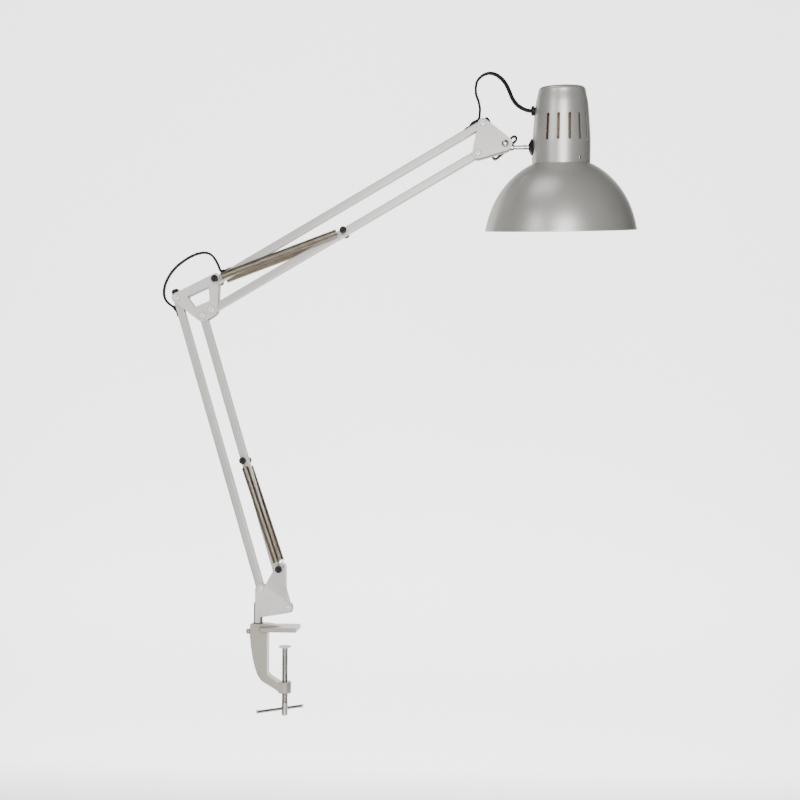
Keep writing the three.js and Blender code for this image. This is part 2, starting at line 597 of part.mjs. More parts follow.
// ---------------------------------------------------------------- shade, on its own axis through the stem
const shade = new THREE.Group();
shade.position.set(SHADE_X, 0, STEM_HEIGHT);
shade.rotation.x = SHADE_TILT;
lamp.add(shade);

const neckWall = SHADE_X - NECK_RADIUS;

function neckProfile(inset) {
  const [shoulderRadius, shoulderHeight] = NECK_SHOULDER;
  const corner = Array.from({ length: 4 }, (_, i) => {
    const turn = degrees(8 + 27 * i);
    return [
      shoulderRadius - NECK_CORNER + (NECK_CORNER - inset) * Math.cos(turn),
      NECK_TOP - NECK_CORNER + (NECK_CORNER - inset) * Math.sin(turn),
    ];
  });
  return [
    [NECK_RADIUS - inset, NECK_BOTTOM], [NECK_RADIUS - inset, NECK_TAPER - 8],
    [NECK_RADIUS - NECK_EASE - inset, NECK_TAPER], [NECK_MIDDLE[0] - inset, NECK_MIDDLE[1]],
    [shoulderRadius - inset, shoulderHeight - 1.4], ...corner, [0, NECK_TOP - inset],
  ];
}

function neckRadiusAt(height) {
  return THREE.MathUtils.mapLinear(height, NECK_TAPER, NECK_MIDDLE[1], NECK_RADIUS - NECK_EASE, NECK_MIDDLE[0]);
}

function slotCutter(angle) {
  const reach = 20;
  const centre = (SLOT_BOTTOM + SLOT_TOP) / 2;
  const half = (SLOT_TOP - SLOT_BOTTOM - SLOT_WIDTH) / 2;
  const outline = outlineRound([[[0, centre - half], SLOT_WIDTH / 2], [[0, centre + half], SLOT_WIDTH / 2]], 8);
  return sheet(outline, -NECK_RADIUS - reach / 2, -NECK_RADIUS + reach).rotateZ(degrees(angle));
}

function neckShell() {
  const shell = turned([...neckProfile(0), ...neckProfile(NECK_SHELL).reverse(), neckProfile(0)[0]], 32);
  const angles = Array.from({ length: 360 / SLOT_PITCH }, (_, i) => SLOT_PITCH * (i + 0.5) - 180)
    .filter((angle) => Math.abs(angle + 90) > 45);
  const stemHole = rodAlongX(STEM_RADIUS + RUNNING, -NECK_RADIUS - 5, -NECK_RADIUS + 8);
  const glandHole = rodAlongX(4.6, -NECK_RADIUS - 5, -NECK_RADIUS + 12).translate(0, 0, GLAND_HEIGHT);
  const topHole = rod(3 + RUNNING, NECK_TOP - 5, NECK_TOP + 5);
  return cut(shell, stemHole, glandHole, topHole, ...angles.map(slotCutter));
}

function domeShell() {
  const collarRadius = NECK_RADIUS - NECK_SHELL - GAP;
  const steps = 9;
  const top = DOME_CENTRE + DOME_HALF_HEIGHT * Math.sqrt(1 - ((NECK_RADIUS + 0.6) / DOME_HALF_WIDTH) ** 2);
  const wall = (inset) => Array.from({ length: steps + 1 }, (_, i) => {
    const lowTurn = Math.asin((DOME_RIM - DOME_CENTRE) / DOME_HALF_HEIGHT);
    const highTurn = Math.asin((top - DOME_CENTRE) / DOME_HALF_HEIGHT);
    const turn = THREE.MathUtils.lerp(lowTurn, highTurn, i / steps);
    const height = DOME_CENTRE + (DOME_HALF_HEIGHT - inset) * Math.sin(turn);
    return [(DOME_HALF_WIDTH - inset) * Math.cos(turn), height];
  });
  const outer = wall(0);
  const inner = wall(DOME_SHELL).reverse();
  const seat = NECK_BOTTOM - GAP;
  const collarTop = seat + COLLAR_HEIGHT;
  const collar = [
    [collarRadius, seat], [collarRadius, collarTop], [collarRadius - DOME_SHELL, collarTop],
    [collarRadius - DOME_SHELL, seat - 1.4],
  ];
  inner.shift();
  return turned([...outer, ...collar, ...inner, outer[0]], 40);
}

add(shade, 'shade_neck', neckShell(), satinSilver);
add(shade, 'shade_dome', domeShell(), satinSilver);

// The stem ends in a head inside the neck, and the shade turns on it against the cup washer.
const stemEnd = neckWall + 8;
const stemHead = stemEnd - 3.4;
add(lamp, 'stem', turnedAlongX([
  [0, STEM_START], [STEM_RADIUS, STEM_START], [STEM_RADIUS, stemHead],
  [5.5, stemHead], [5.5, stemEnd], [0, stemEnd],
], 20), brightSteel, [0, 0, STEM_HEIGHT]);
add(shade, 'cup_washer', cut(turnedAlongX([
  [0, -CUP_DEPTH], [4, -CUP_DEPTH], [CUP_RADIUS, -1.2], [CUP_RADIUS, 0], [0, 0],
], 28), rodAlongX(STEM_RADIUS + RUNNING, -20, 20)), blackPlastic, [-NECK_RADIUS - 1.6, 0, 0]);

// ---------------------------------------------------------------- lamp holder and bulb
const glandRadius = neckRadiusAt(GLAND_HEIGHT - GLAND_RADIUS);

add(shade, 'holder_nipple', turned([
  [0, HOLDER_TOP + GAP], [3, HOLDER_TOP + GAP], [3, NECK_TOP + GAP], [4.8, NECK_TOP + GAP],
  [4.6, NECK_TOP + 1.1],
  [3.4, NECK_TOP + 1.6], [0, NECK_TOP + 1.6],
], 16), brightSteel);
add(shade, 'lamp_holder', turned([
  [0, 30], [14.6, 30], [14.6, -6], [20, -6], [20, 0], [22.5, 2], [22.5, 10], [20, 12], [19.6, HOLDER_TOP - 4],
  [16, HOLDER_TOP], [0, HOLDER_TOP],
], 18), holderBeige);
add(shade, 'bulb', turned([
  [0, -86.6], [13, -84.6], [22, -79], [27.6, -70], [29.8, -60], [29.8, -52], [27, -42], [21, -31], [16, -20],
  [13.4, -8], [13, 0], [13, 24], [6, 26], [5, 28], [0, 28],
], 20), opalGlass);
add(shade, 'cord_gland', cut(turnedAlongX([
  [0, -4.4], [5.2, -4.4], [GLAND_RADIUS, -3.2], [GLAND_RADIUS, -GAP], [4.2, -GAP], [4.2, 4], [0, 4],
], 20), rodAlongX(3, -10, 10)), blackPlastic, [-glandRadius, 0, GLAND_HEIGHT]);

// ---------------------------------------------------------------- the flat flex, from the base to the holder
function flexAlong(points, steps) {
  const half = [FLEX_WIDTH / 2, FLEX_THICKNESS / 2];
  const round = 0.9;
  const section = new THREE.Shape(polygon([
    [-half[0], -half[1] + round], [-half[0] + round, -half[1]],
    [half[0] - round, -half[1]], [half[0], -half[1] + round],
    [half[0], half[1] - round], [half[0] - round, half[1]],
    [-half[0] + round, half[1]], [-half[0], half[1] - round],
  ]));
  const places = points.map(([x, z, y = 0]) => new THREE.Vector3(x, y, z));
  const path = new THREE.CatmullRomCurve3(places, false, 'centripetal');
  return new THREE.ExtrudeGeometry(section, { steps, bevelEnabled: false, extrudePath: path });
}

const inside = TUBE / 2 - TUBE_WALL - FLEX_THICKNESS / 2 - GAP;
const tubeLead = (low, high) => block(FLEX_THICKNESS, FLEX_WIDTH, high - low, -inside, 0, (low + high) / 2);
add(lowerRear, 'lower_lead', tubeLead(BASE_EXIT - 3, lowerSlot + 1), blackFlex);
add(upperTop, 'upper_lead', tubeLead(upperSlots[0] - 1, upperSlots[1] + 1), blackFlex);

// Each end of a loop lies down along its tube and goes in through the slot, given as [distance from the pivot,
// distance from the tube's middle] from the slot outwards.
const FLEX_ENTRY = [[16.6, TUBE / 2 + 0.6], [13.4, TUBE / 2 + 2.3], [10.2, TUBE / 2 + 3.3]];
const HEAD_ENTRY = [...FLEX_ENTRY, [7.6, TUBE / 2 + 3.2], [4.8, TUBE / 2 + 2.8]];
const entry = (places, pivotPlace, direction, normal) => places.map(([reach, height]) => (
  along(along(pivotPlace, direction, reach), normal, height)));
const lowerNormal = [-lowerDirection[1], lowerDirection[0]];
const upperNormal = [-upperDirection[1], upperDirection[0]];
const back = ([x, z]) => [-x, -z];

// The loops' free parts, from the rear lower pivot of the elbow and from the upper pivot of the head.
const ELBOW_LOOP = [
  [-11.2, -7.7], [-16.2, -1.9], [-18.4, 6.5], [-17.4, 16], [-13.9, 25.3], [-8.2, 34.6],
  [-0.7, 43], [7.8, 49.4], [17.2, 55.1], [26.7, 58.9], [35.2, 60.3], [41.8, 59.1],
  [46.8, 55.7], [50.8, 50.5], [54.4, 43.7],
];
const HEAD_LOOP = [
  [-4.8, 7.6], [-4.1, 13.6], [-3.8, 20.8], [-5.6, 30.4], [-8.6, 39.2], [-9.2, 47.9],
  [-7.4, 56.5], [-2, 63.1], [5.2, 66.8], [11.2, 67.2], [18.2, 65, -0.3], [25.2, 58.8, -1.2],
  [30.7, 50.7, -2.6], [34.8, 41, -4.4], [38.7, 30.6, -6.4], [44, 22.4, -8.2], [50.5, 17, -9.4],
];
const from = ([px, pz], points) => points.map(([x, z, y = 0]) => [px + x, pz + z, y]);

const glandY = -GLAND_HEIGHT * Math.sin(SHADE_TILT);
const glandZ = STEM_HEIGHT + GLAND_HEIGHT * Math.cos(SHADE_TILT);
add(lamp, 'elbow_lead', flexAlong([
  ...entry(FLEX_ENTRY, elbowRear, back(lowerDirection), lowerNormal), ...from(elbowRear, ELBOW_LOOP),
  ...entry(FLEX_ENTRY, elbowTop, upperDirection, upperNormal).reverse(),
], 44), blackFlex);
add(lamp, 'head_lead', flexAlong([
  ...entry(HEAD_ENTRY, headTop, back(upperDirection), upperNormal), ...from(headTop, HEAD_LOOP),
  [SHADE_X - 44.8, glandZ + 1.1, glandY], [SHADE_X - 39, glandZ, glandY],
  [SHADE_X - glandRadius + 6, glandZ, glandY],
], 50), blackFlex);

export default lamp;
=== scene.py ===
"""A balanced-arm desk lamp with a table clamp, dressed piece by piece over its mechanical frame.

Lengths are metres. The arms swing in the XZ plane, +Z is up, and +X runs from the clamp towards the shade.
A point in the arm plane is (x, z). A local frame along an arm has X across it, Y through it and Z along it.
"""
import json
import math

import bmesh
import bpy
from mathutils import Matrix, Vector
from mathutils.geometry import interpolate_bezier

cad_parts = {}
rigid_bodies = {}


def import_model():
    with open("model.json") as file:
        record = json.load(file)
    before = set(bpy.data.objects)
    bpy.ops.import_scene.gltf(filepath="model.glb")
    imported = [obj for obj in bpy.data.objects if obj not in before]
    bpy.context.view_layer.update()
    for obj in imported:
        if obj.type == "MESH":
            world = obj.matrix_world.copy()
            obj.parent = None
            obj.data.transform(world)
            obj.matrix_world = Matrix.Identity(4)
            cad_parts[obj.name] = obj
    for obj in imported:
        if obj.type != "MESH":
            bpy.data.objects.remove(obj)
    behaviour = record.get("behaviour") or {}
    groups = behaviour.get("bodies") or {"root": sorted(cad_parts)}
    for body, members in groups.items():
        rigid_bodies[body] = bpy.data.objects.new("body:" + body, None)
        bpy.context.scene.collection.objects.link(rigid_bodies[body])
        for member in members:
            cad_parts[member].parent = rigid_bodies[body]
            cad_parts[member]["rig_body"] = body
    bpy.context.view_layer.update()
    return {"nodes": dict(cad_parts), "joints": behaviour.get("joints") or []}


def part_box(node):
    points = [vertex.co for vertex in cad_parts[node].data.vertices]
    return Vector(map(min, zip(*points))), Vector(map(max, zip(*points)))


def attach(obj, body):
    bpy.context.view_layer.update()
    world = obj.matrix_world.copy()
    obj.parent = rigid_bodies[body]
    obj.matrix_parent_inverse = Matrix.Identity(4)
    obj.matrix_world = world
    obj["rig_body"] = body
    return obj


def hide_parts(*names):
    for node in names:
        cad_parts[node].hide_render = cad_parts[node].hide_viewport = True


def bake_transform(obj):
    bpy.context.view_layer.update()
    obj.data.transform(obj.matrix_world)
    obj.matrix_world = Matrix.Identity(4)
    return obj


bl_info = {
    "name": "Balanced Arm Lamp",
    "version": (1, 0, 0),
    "blender": (4, 5, 0),
    "location": "View3D > Sidebar > Lamp",
    "description": "Builds the visible pieces of a clamp-on balanced-arm desk lamp",
    "category": "Object",
}

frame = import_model()
PIVOT = {joint["name"]: Vector(joint["pos_m"]) for joint in frame["joints"] if joint.get("pos_m")}

# ---------------------------------------------------------------- places, from the frame
DEPTH = Vector((0, 1, 0))  # the direction that every arm pivot runs in
BASE_REAR = PIVOT["lower_arm_tilt"]
BASE_FRONT = PIVOT["lower_front_link"]
BASE_PIN = PIVOT["lower_spring_swing"]
LOWER_PIN = PIVOT["lower_tip_hook_swing"]
ELBOW_REAR = PIVOT["elbow_level"]
ELBOW_TOP = PIVOT["upper_arm_tilt"]
ELBOW_LOW = PIVOT["upper_low_link"]
UPPER_PIN = PIVOT["upper_tip_hook_swing"]
HEAD_TOP = PIVOT["head_level"]
HEAD_BOLT = PIVOT["head_tilt"]
ELBOW_FRONT = ELBOW_REAR + BASE_FRONT - BASE_REAR
HEAD_LOW = HEAD_TOP + ELBOW_LOW - ELBOW_TOP
LOWER_ALONG = (ELBOW_REAR - BASE_REAR).normalized()
UPPER_ALONG = (HEAD_TOP - ELBOW_TOP).normalized()

SPINDLE_X = PIVOT["base_swivel"].x
STEM_Z = PIVOT["shade_swivel"].z
SHADE_TILT = math.radians(12.5)

# ---------------------------------------------------------------- sizes shared by several pieces
TUBE = 0.010
TUBE_WALL = 0.001
TUBE_OVERHANG = 0.0046
PLATE = 0.0012
GAP = 0.0003  # between neighbouring pieces
PLATE_INNER = TUBE / 2 + GAP
PLATE_OUTER = PLATE_INNER + PLATE
GRIP = PLATE_OUTER + GAP  # from the arm plane to the underside of a head
PIVOT_HOLE = 0.00235
PIN_HEAD = 0.0026
PIN_HEAD_RADIUS = 0.0046
TALL_PLUG, ROUND_PLUG, FLAT_PLUG = 0.008, 0.0056, 0.0024
CORD_EXIT = 0.030  # from the rear lower pivot to the cord's way out
PIN_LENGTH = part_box("elbow_spring_pin")[1][1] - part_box("elbow_spring_pin")[0][1]
SPRING_OFFSET = 0.014
COIL_RADIUS = 0.005
COIL_START = 0.0085
CLOSE_WOUND = 1.004  # coil pitch over wire thickness
HOOK_SHANK = 0.031
FLEX_WIDTH = 0.0053
FLEX_THICKNESS = 0.0032
LEAD_SLOT = 0.0164
SLOT_LONG = 0.015
SLOT_ACROSS = 0.0072
NECK_RADIUS = 0.0377
NECK_TOP = 0.0755
GLAND_HEIGHT = 0.046
BAR_HALF = 0.0325
SHADE_AXIS = (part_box("shade_neck")[0][0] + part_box("shade_neck")[1][0]) / 2

# ---------------------------------------------------------------- the view and the room
CAMERA_PLACE = (0.24095, -1.350, 0.24077)
CAMERA_TURN = math.radians(3.8544)  # to the left of +Y
CAMERA_RISE = math.radians(2.4824)
CAMERA_LENS = 46.71
FLOOR_HEIGHT = -0.36
ROOM_DEPTH = 0.95


class LampSizes(bpy.types.PropertyGroup):
    """Sizes of the small work that the frame leaves open."""

    tube_corner: bpy.props.FloatProperty(
        name="Tube corner", description="Outside corner radius of the square arm tube",
        default=0.0012, min=0.0002, max=0.003, subtype="DISTANCE", unit="LENGTH")
    plate_edge: bpy.props.FloatProperty(
        name="Plate edge", description="Rounding of the bracket plates' pressed edges",
        default=0.00028, min=0.0001, max=0.0005, subtype="DISTANCE", unit="LENGTH")
    wire: bpy.props.FloatProperty(
        name="Spring wire", description="Thickness of the spring wire",
        default=0.0013, min=0.0008, max=0.0016, subtype="DISTANCE", unit="LENGTH")
    casting_edge: bpy.props.FloatProperty(
        name="Casting softness", description="Grid size of the cast clamp's rounding",
        default=0.0006, min=0.0004, max=0.002, subtype="DISTANCE", unit="LENGTH")
    thread_pitch: bpy.props.FloatProperty(
        name="Thread pitch", description="Advance of the clamp screw in one turn",
        default=0.00125, min=0.0008, max=0.002, subtype="DISTANCE", unit="LENGTH")


def colour_property(name, description, default):
    """A colour with no alpha, as a user would pick it."""
    return bpy.props.FloatVectorProperty(
        name=name, description=description, default=default, size=3, min=0, max=1, subtype="COLOR")


class LampColours(bpy.types.PropertyGroup):
    """Colours of the lamp's finishes, in linear light."""

    satin: colour_property("Satin silver", "Lacquer of the tubes and the shade", (0.56, 0.545, 0.51))
    pearl: colour_property("Pearl silver", "Lacquer of the bracket plates", (0.70, 0.675, 0.64))
    casting: colour_property("Casting grey", "Paint of the cast clamp", (0.42, 0.385, 0.33))
    zinc: colour_property("Zinc", "Plating of screws, rivets and stem", (0.66, 0.67, 0.64))
    nickel: colour_property("Spring nickel", "Plating of the spring wire", (0.44, 0.385, 0.315))
    black: colour_property("Black plastic", "Plugs, grommets, pins and wing nut", (0.010, 0.009, 0.008))
    flex: colour_property("Flex black", "Sheath of the flat flex", (0.008, 0.0075, 0.0075))
    white: colour_property("White plastic", "Pad of the clamp", (0.80, 0.79, 0.76))
    cream: colour_property("Cream plastic", "Lamp holder", (0.42, 0.34, 0.24))
    opal: colour_property("Opal glass", "Bulb", (0.88, 0.87, 0.84))


# ---------------------------------------------------------------- shaders
class Value:
    """A shader socket that Python's operators work on."""

    def __init__(self, shader, socket):
        self.shader = shader
        self.socket = socket

    def _with(self, operation, first, second):
        return self.shader.node("ShaderNodeMath", {"operation": operation}, {0: first, 1: second})

    def __add__(self, other):
        return self._with("ADD", self, other)

    def __rsub__(self, other):
        return self._with("SUBTRACT", other, self)

    def __mul__(self, other):
        return self._with("MULTIPLY", self, other)

    __radd__ = __add__
    __rmul__ = __mul__


class Shader:
    """One material, built from nodes."""

    def __init__(self, name):
        self.material = bpy.data.materials.new(name)
        self.material.use_nodes = True
        self.tree = self.material.node_tree
        self.surface = self.tree.nodes["Principled BSDF"]

    def _feed(self, socket, source):
        if isinstance(source, Value):
            self.tree.links.new(source.socket, socket)
        else:
            socket.default_value = source

    def node(self, kind, settings=None, inputs=None, output=0):
        """A node of that kind: settings first, then its sockets' values or links."""
        made = self.tree.nodes.new(kind)
        for key, value in (settings or {}).items():
            setattr(made, key, value)
        for key, value in (inputs or {}).items():
            self._feed(made.inputs[key], value)
        return Value(self, made.outputs[output])

    def place(self):
        return self.node("ShaderNodeTexCoord", output="Object")

    def noise(self, scale, detail=3, roughness=0.5):
        sockets = {"Vector": self.place(), "Scale": scale, "Detail": detail, "Roughness": roughness}
        return self.node("ShaderNodeTexNoise", inputs=sockets, output="Fac")

    def ramp(self, value, low, high):
        """0 below low, 1 above high."""
        sockets = {"Value": value, "From Min": low, "From Max": high}
        return self.node("ShaderNodeMapRange", {"clamp": True}, sockets)

    def mix(self, amount, first, second):
        sockets = {0: amount, 6: first, 7: second}
        return self.node("ShaderNodeMix", {"data_type": "RGBA"}, sockets, output=2)

    def bump(self, height, strength, distance):
        sockets = {"Height": height, "Strength": strength, "Distance": distance}
        return self.node("ShaderNodeBump", inputs=sockets, output="Normal")

    def corners(self, reach):
        """Ambient occlusion for painting shade: 1 in corners and under overlaps, 0 in the open."""
        made = self.node("ShaderNodeAmbientOcclusion", {"samples": 6}, {"Distance": reach}, output="AO")
        return 1 - made

    def set(self, **sockets):
        for name, source in sockets.items():
            self._feed(self.surface.inputs[name.replace("_", " ")], source)
        return self.material


def tone(colour, factor):
    """The colour, lighter or darker, with alpha."""
    return (*(min(1.0, channel * factor) for channel in colour), 1.0)


EDGE_TINT = (0.30, 0.285, 0.26, 1)  # how far lacquer and plating darken where they turn away


def satin_silver(colour):
    """Sprayed aluminium lacquer: fine flake, slight orange peel, painted shade darkening the corners, which
    are also rougher.
    """
    shader = Shader("satin_silver")
    flake = shader.noise(5200, 2)
    cloud = shader.noise(14, 3)
    peel = shader.noise(900, 2)
    painted_corner_shade = shader.corners(0.004)
    base = shader.mix(shader.ramp(cloud, 0.35, 0.7), tone(colour, 0.97), tone(colour, 1.04))
    base = shader.mix(shader.ramp(flake, 0.62, 0.78) * 0.35, base, tone(colour, 1.35))
    # Painted shade: the base colour darkens towards 0.45 of itself in corners and under overlaps.
    base = shader.mix(painted_corner_shade * 0.35, base, tone(colour, 0.45))
    return shader.set(
        Base_Color=base, Metallic=0.6, Roughness=0.33 + 0.07 * cloud + 0.08 * painted_corner_shade,
        Normal=shader.bump(peel + 0.5 * flake, 0.06, 0.0002), Specular_IOR_Level=0.2,
                      Specular_Tint=EDGE_TINT)


def pearl_silver(colour):
    """A paler silver lacquer with less metal in it."""
    shader = Shader("pearl_silver")
    flake = shader.noise(4200, 2)
    cloud = shader.noise(28, 3)
    painted_corner_shade = shader.corners(0.003)
    base = shader.mix(shader.ramp(cloud, 0.35, 0.7), tone(colour, 0.96), tone(colour, 1.03))
    # Painted shade: the base colour darkens towards half of itself in corners and under overlaps.
    base = shader.mix(painted_corner_shade * 0.4, base, tone(colour, 0.5))
    return shader.set(
        Base_Color=base, Metallic=0.4, Roughness=0.38 + 0.08 * cloud,
        Normal=shader.bump(flake, 0.05, 0.0002), Specular_IOR_Level=0.2, Specular_Tint=EDGE_TINT)


def cast_grey(colour):
    """Paint over a sand-cast surface."""
    shader = Shader("cast_grey")
    grain = shader.noise(700, 4, 0.6)
    cloud = shader.noise(40, 3)
    painted_corner_shade = shader.corners(0.006)
    base = shader.mix(shader.ramp(cloud, 0.35, 0.7), tone(colour, 0.94), tone(colour, 1.06))
    # Painted shade: the base colour darkens towards 0.45 of itself in corners and under overlaps.
    base = shader.mix(painted_corner_shade * 0.5, base, tone(colour, 0.45))
    return shader.set(
        Base_Color=base, Metallic=0.35, Roughness=0.40 + 0.12 * grain,
        Normal=shader.bump(grain, 0.22, 0.0004), Coat_Weight=0.15, Coat_Roughness=0.2)


def plated(name, colour, roughness, warm, shade_strength=0.6, metal=1.0, edge=(0.6, 0.59, 0.56, 1)):
    """Bright plating with faint turning marks, a warmer tint where it has aged, and painted shade, dark and
    warm, in its corners.
    """
    shader = Shader(name)
    marks = shader.noise(1600, 3)
    cloud = shader.noise(90, 3)
    base = shader.mix(shader.ramp(cloud, 0.45, 0.75), tone(colour, 1.0), tone(warm, 1.0))
    # Painted shade: in corners and under overlaps the base colour darkens towards a dark warm tone.
    base = shader.mix(shader.corners(0.0015) * shade_strength, base, tone(warm, 0.3))
    return shader.set(
        Base_Color=base, Metallic=metal, Roughness=roughness + 0.1 * marks,
        Normal=shader.bump(marks, 0.05, 0.0001), Specular_Tint=edge)


def moulded(name, colour, roughness, grain_scale=2400, coat=0.0, shine=0.5):
    """Moulded plastic with a fine spark-eroded grain."""
    shader = Shader(name)
    grain = shader.noise(grain_scale, 3)
    cloud = shader.noise(120, 2)
    dust = shader.ramp(cloud, 0.5, 0.8) * 0.04
    base = shader.mix(dust, tone(colour, 1.0), tone([0.5 * channel + 0.08 for channel in colour], 1.0))
    return shader.set(
        Base_Color=base, Roughness=roughness + 0.12 * grain,
        Normal=shader.bump(grain, 0.12, 0.00015), Coat_Weight=coat, Coat_Roughness=0.15,
                      Specular_IOR_Level=shine)


def opal_glass(colour):
    """Opal glass, bright and glossy."""
    shader = Shader("opal_glass")
    cloud = shader.noise(30, 2)
    base = shader.mix(shader.ramp(cloud, 0.4, 0.7), tone(colour, 0.97), tone(colour, 1.0))
    return shader.set(Base_Color=base, Roughness=0.12 + 0.05 * cloud, Coat_Weight=0.4, Coat_Roughness=0.05)


FINISHES = {}
FLAT_FACED = ("pearl_silver", "satin_silver")  # finishes of sheet and tube, whose flat faces stay flat


def make_finishes(colours):
    """Every material of the lamp, keyed by its slot in the record."""
    FINISHES.update({
        "satin_silver": satin_silver(colours.satin),
        "pearl_silver": pearl_silver(colours.pearl),
        "cast_grey": cast_grey(colours.casting),
        "steel": plated("steel", colours.zinc, 0.2, [0.56, 0.55, 0.47]),
        # A lit copy of the zinc for rivet and screw heads: 1.45 times lighter and less metallic, painting in
        # the brightness the heads catch from the light.
        "lit_zinc": plated("lit_zinc", tone(colours.zinc, 1.45)[:3], 0.3, [0.88, 0.86, 0.78], 0.9, 0.35),
        "spring_wire": plated("spring_wire", colours.nickel, 0.24, [0.36, 0.29, 0.21], 0.95, edge=EDGE_TINT),
        "black_plastic": moulded("black_plastic", colours.black, 0.4, shine=0.3),
        "flex": moulded("flex", colours.flex, 0.45, 900, 0.03, 0.25),
        "white_plastic": moulded("white_plastic", colours.white, 0.42),
        "holder_plastic": moulded("holder_plastic", colours.cream, 0.3, 1500, 0.3),
        "opal_glass": opal_glass(colours.opal),
    })


# ---------------------------------------------------------------- outlines and paths
def flat(point):
    """A place in the arm plane as (x, z)."""
    return Vector((point[0], point[2])) if len(point) == 3 else Vector(point)


def rounded(points, radius, steps=4, closed=False):
    """The polyline with each corner turned by an arc-like curve of about that radius."""
    points = [Vector(point) for point in points]
    made = [] if closed else [points[0]]
    indices = range(len(points)) if closed else range(1, len(points) - 1)
    for i in indices:
        before, corner, after = points[i - 1], points[i], points[(i + 1) % len(points)]
        enter, leave = before - corner, after - corner
        reach = min(radius, 0.45 * enter.length, 0.45 * leave.length)
        start, end = corner + enter.normalized() * reach, corner + leave.normalized() * reach
        for k in range(steps + 1):
            t = k / steps
            made.append(start * (1 - t) ** 2 + corner * (2 * t * (1 - t)) + end * t ** 2)
    return made if closed else made + [points[-1]]


def disc(centre, radius, count=40):
    """A circle's points, counter-clockwise."""
    centre = flat(centre)
    turns = (2 * math.pi * i / count for i in range(count))
    return [centre + radius * Vector((math.cos(turn), math.sin(turn))) for turn in turns]


def outline_round(discs):
    """The taut outline round discs given as (centre, radius)."""
    points = sorted((point for centre, radius in discs for point in disc(centre, radius)),
                    key=lambda point: (point.x, point.y))

    def chain(ordered):
        hull = []
        for point in ordered:
            while len(hull) > 1 and (hull[-1] - hull[-2]).cross(point - hull[-2]) <= 1e-12:
                hull.pop()
            hull.append(point)
        return hull[:-1]

    return chain(points) + chain(points[::-1])


def smooth_path(points, steps):
    """A smooth line through the points, with that many pieces to each span."""
    points = [Vector(point) for point in points]
    padded = [2 * points[0] - points[1], *points, 2 * points[-1] - points[-2]]
    made = []
    for before, start, end, after in zip(padded, padded[1:], padded[2:], padded[3:]):
        span = (end - start).length / 3
        out = start + (end - before).normalized() * span
        back = end - (after - start).normalized() * span
        made.extend(interpolate_bezier(start, out, back, end, steps + 1)[:-1])
    return made + [points[-1]]


# ---------------------------------------------------------------- meshes
def mesh_of(name, vertices, faces):
    mesh = bpy.data.meshes.new(name)
    mesh.from_pydata([tuple(vertex) for vertex in vertices], [], faces)
    body = bmesh.new()
    body.from_mesh(mesh)
    bmesh.ops.remove_doubles(body, verts=body.verts, dist=1e-7)
    bmesh.ops.recalc_face_normals(body, faces=body.faces)
    body.to_mesh(mesh)
    body.free()
    return mesh


def along_frame(origin, along, side=DEPTH):
    """A frame at origin with Z along the direction, Y along side and X across both."""
    along = Vector(along).normalized()
    across = Vector(side).cross(along).normalized()
    through = along.cross(across)
    made = Matrix((across, through, along)).transposed().to_4x4()
    made.translation = Vector(origin)
    return made


def lathe(name, profile, place, segments=48):
    """A turned mesh about the place's Z axis from (radius, height) pairs."""
    vertices, rings, faces = [], [], []
    for radius, height in profile:
        count = 1 if radius < 1e-7 else segments
        rings.append(range(len(vertices), len(vertices) + count))
        for i in range(count):
            turn = 2 * math.pi * i / segments
            vertices.append(place @ Vector((radius * math.cos(turn), radius * math.sin(turn), height)))
    for low, high in zip(rings, rings[1:]):
        for i in range(segments):
            j = (i + 1) % segments
            corners = [low[i % len(low)], low[j % len(low)], high[j % len(high)], high[i % len(high)]]
            face = list(dict.fromkeys(corners))
            if len(face) > 2:
                faces.append(face)
    return mesh_of(name, vertices, faces)


def sheet_metal(name, outline, front, rear, edge, holes=()):
    """A flat plate in the arm plane between two depths, with rounded edges and holes."""
    curve = bpy.data.curves.new(name, "CURVE")
    curve.dimensions = "2D"
    curve.fill_mode = "BOTH"
    curve.bevel_depth = edge
    curve.bevel_resolution = 2
    curve.offset = -edge
    curve.extrude = (rear - front) / 2 - edge
    for points in (outline, *(hole[::-1] for hole in holes)):
        spline = curve.splines.new("POLY")
        spline.use_cyclic_u = True
        spline.points.add(len(points) - 1)
        for slot, point in zip(spline.points, points):
            slot.co = (point[0], point[1], 0, 1)
    carrier = bpy.data.objects.new(name, curve)
    mesh = bpy.data.meshes.new_from_object(carrier)
    bpy.data.objects.remove(carrier)
    bpy.data.curves.remove(curve)
    mesh.transform(Matrix.Translation((0, (front + rear) / 2, 0)) @ Matrix.Rotation(math.pi / 2, 4, "X"))
    body = bmesh.new()
    body.from_mesh(mesh)
    bmesh.ops.remove_doubles(body, verts=body.verts, dist=1e-6)
    bmesh.ops.recalc_face_normals(body, faces=body.faces)
    body.to_mesh(mesh)
    body.free()
    return mesh


def circle_section(radius, count):
    return [(point.x, point.y) for point in disc((0, 0), radius, count)]


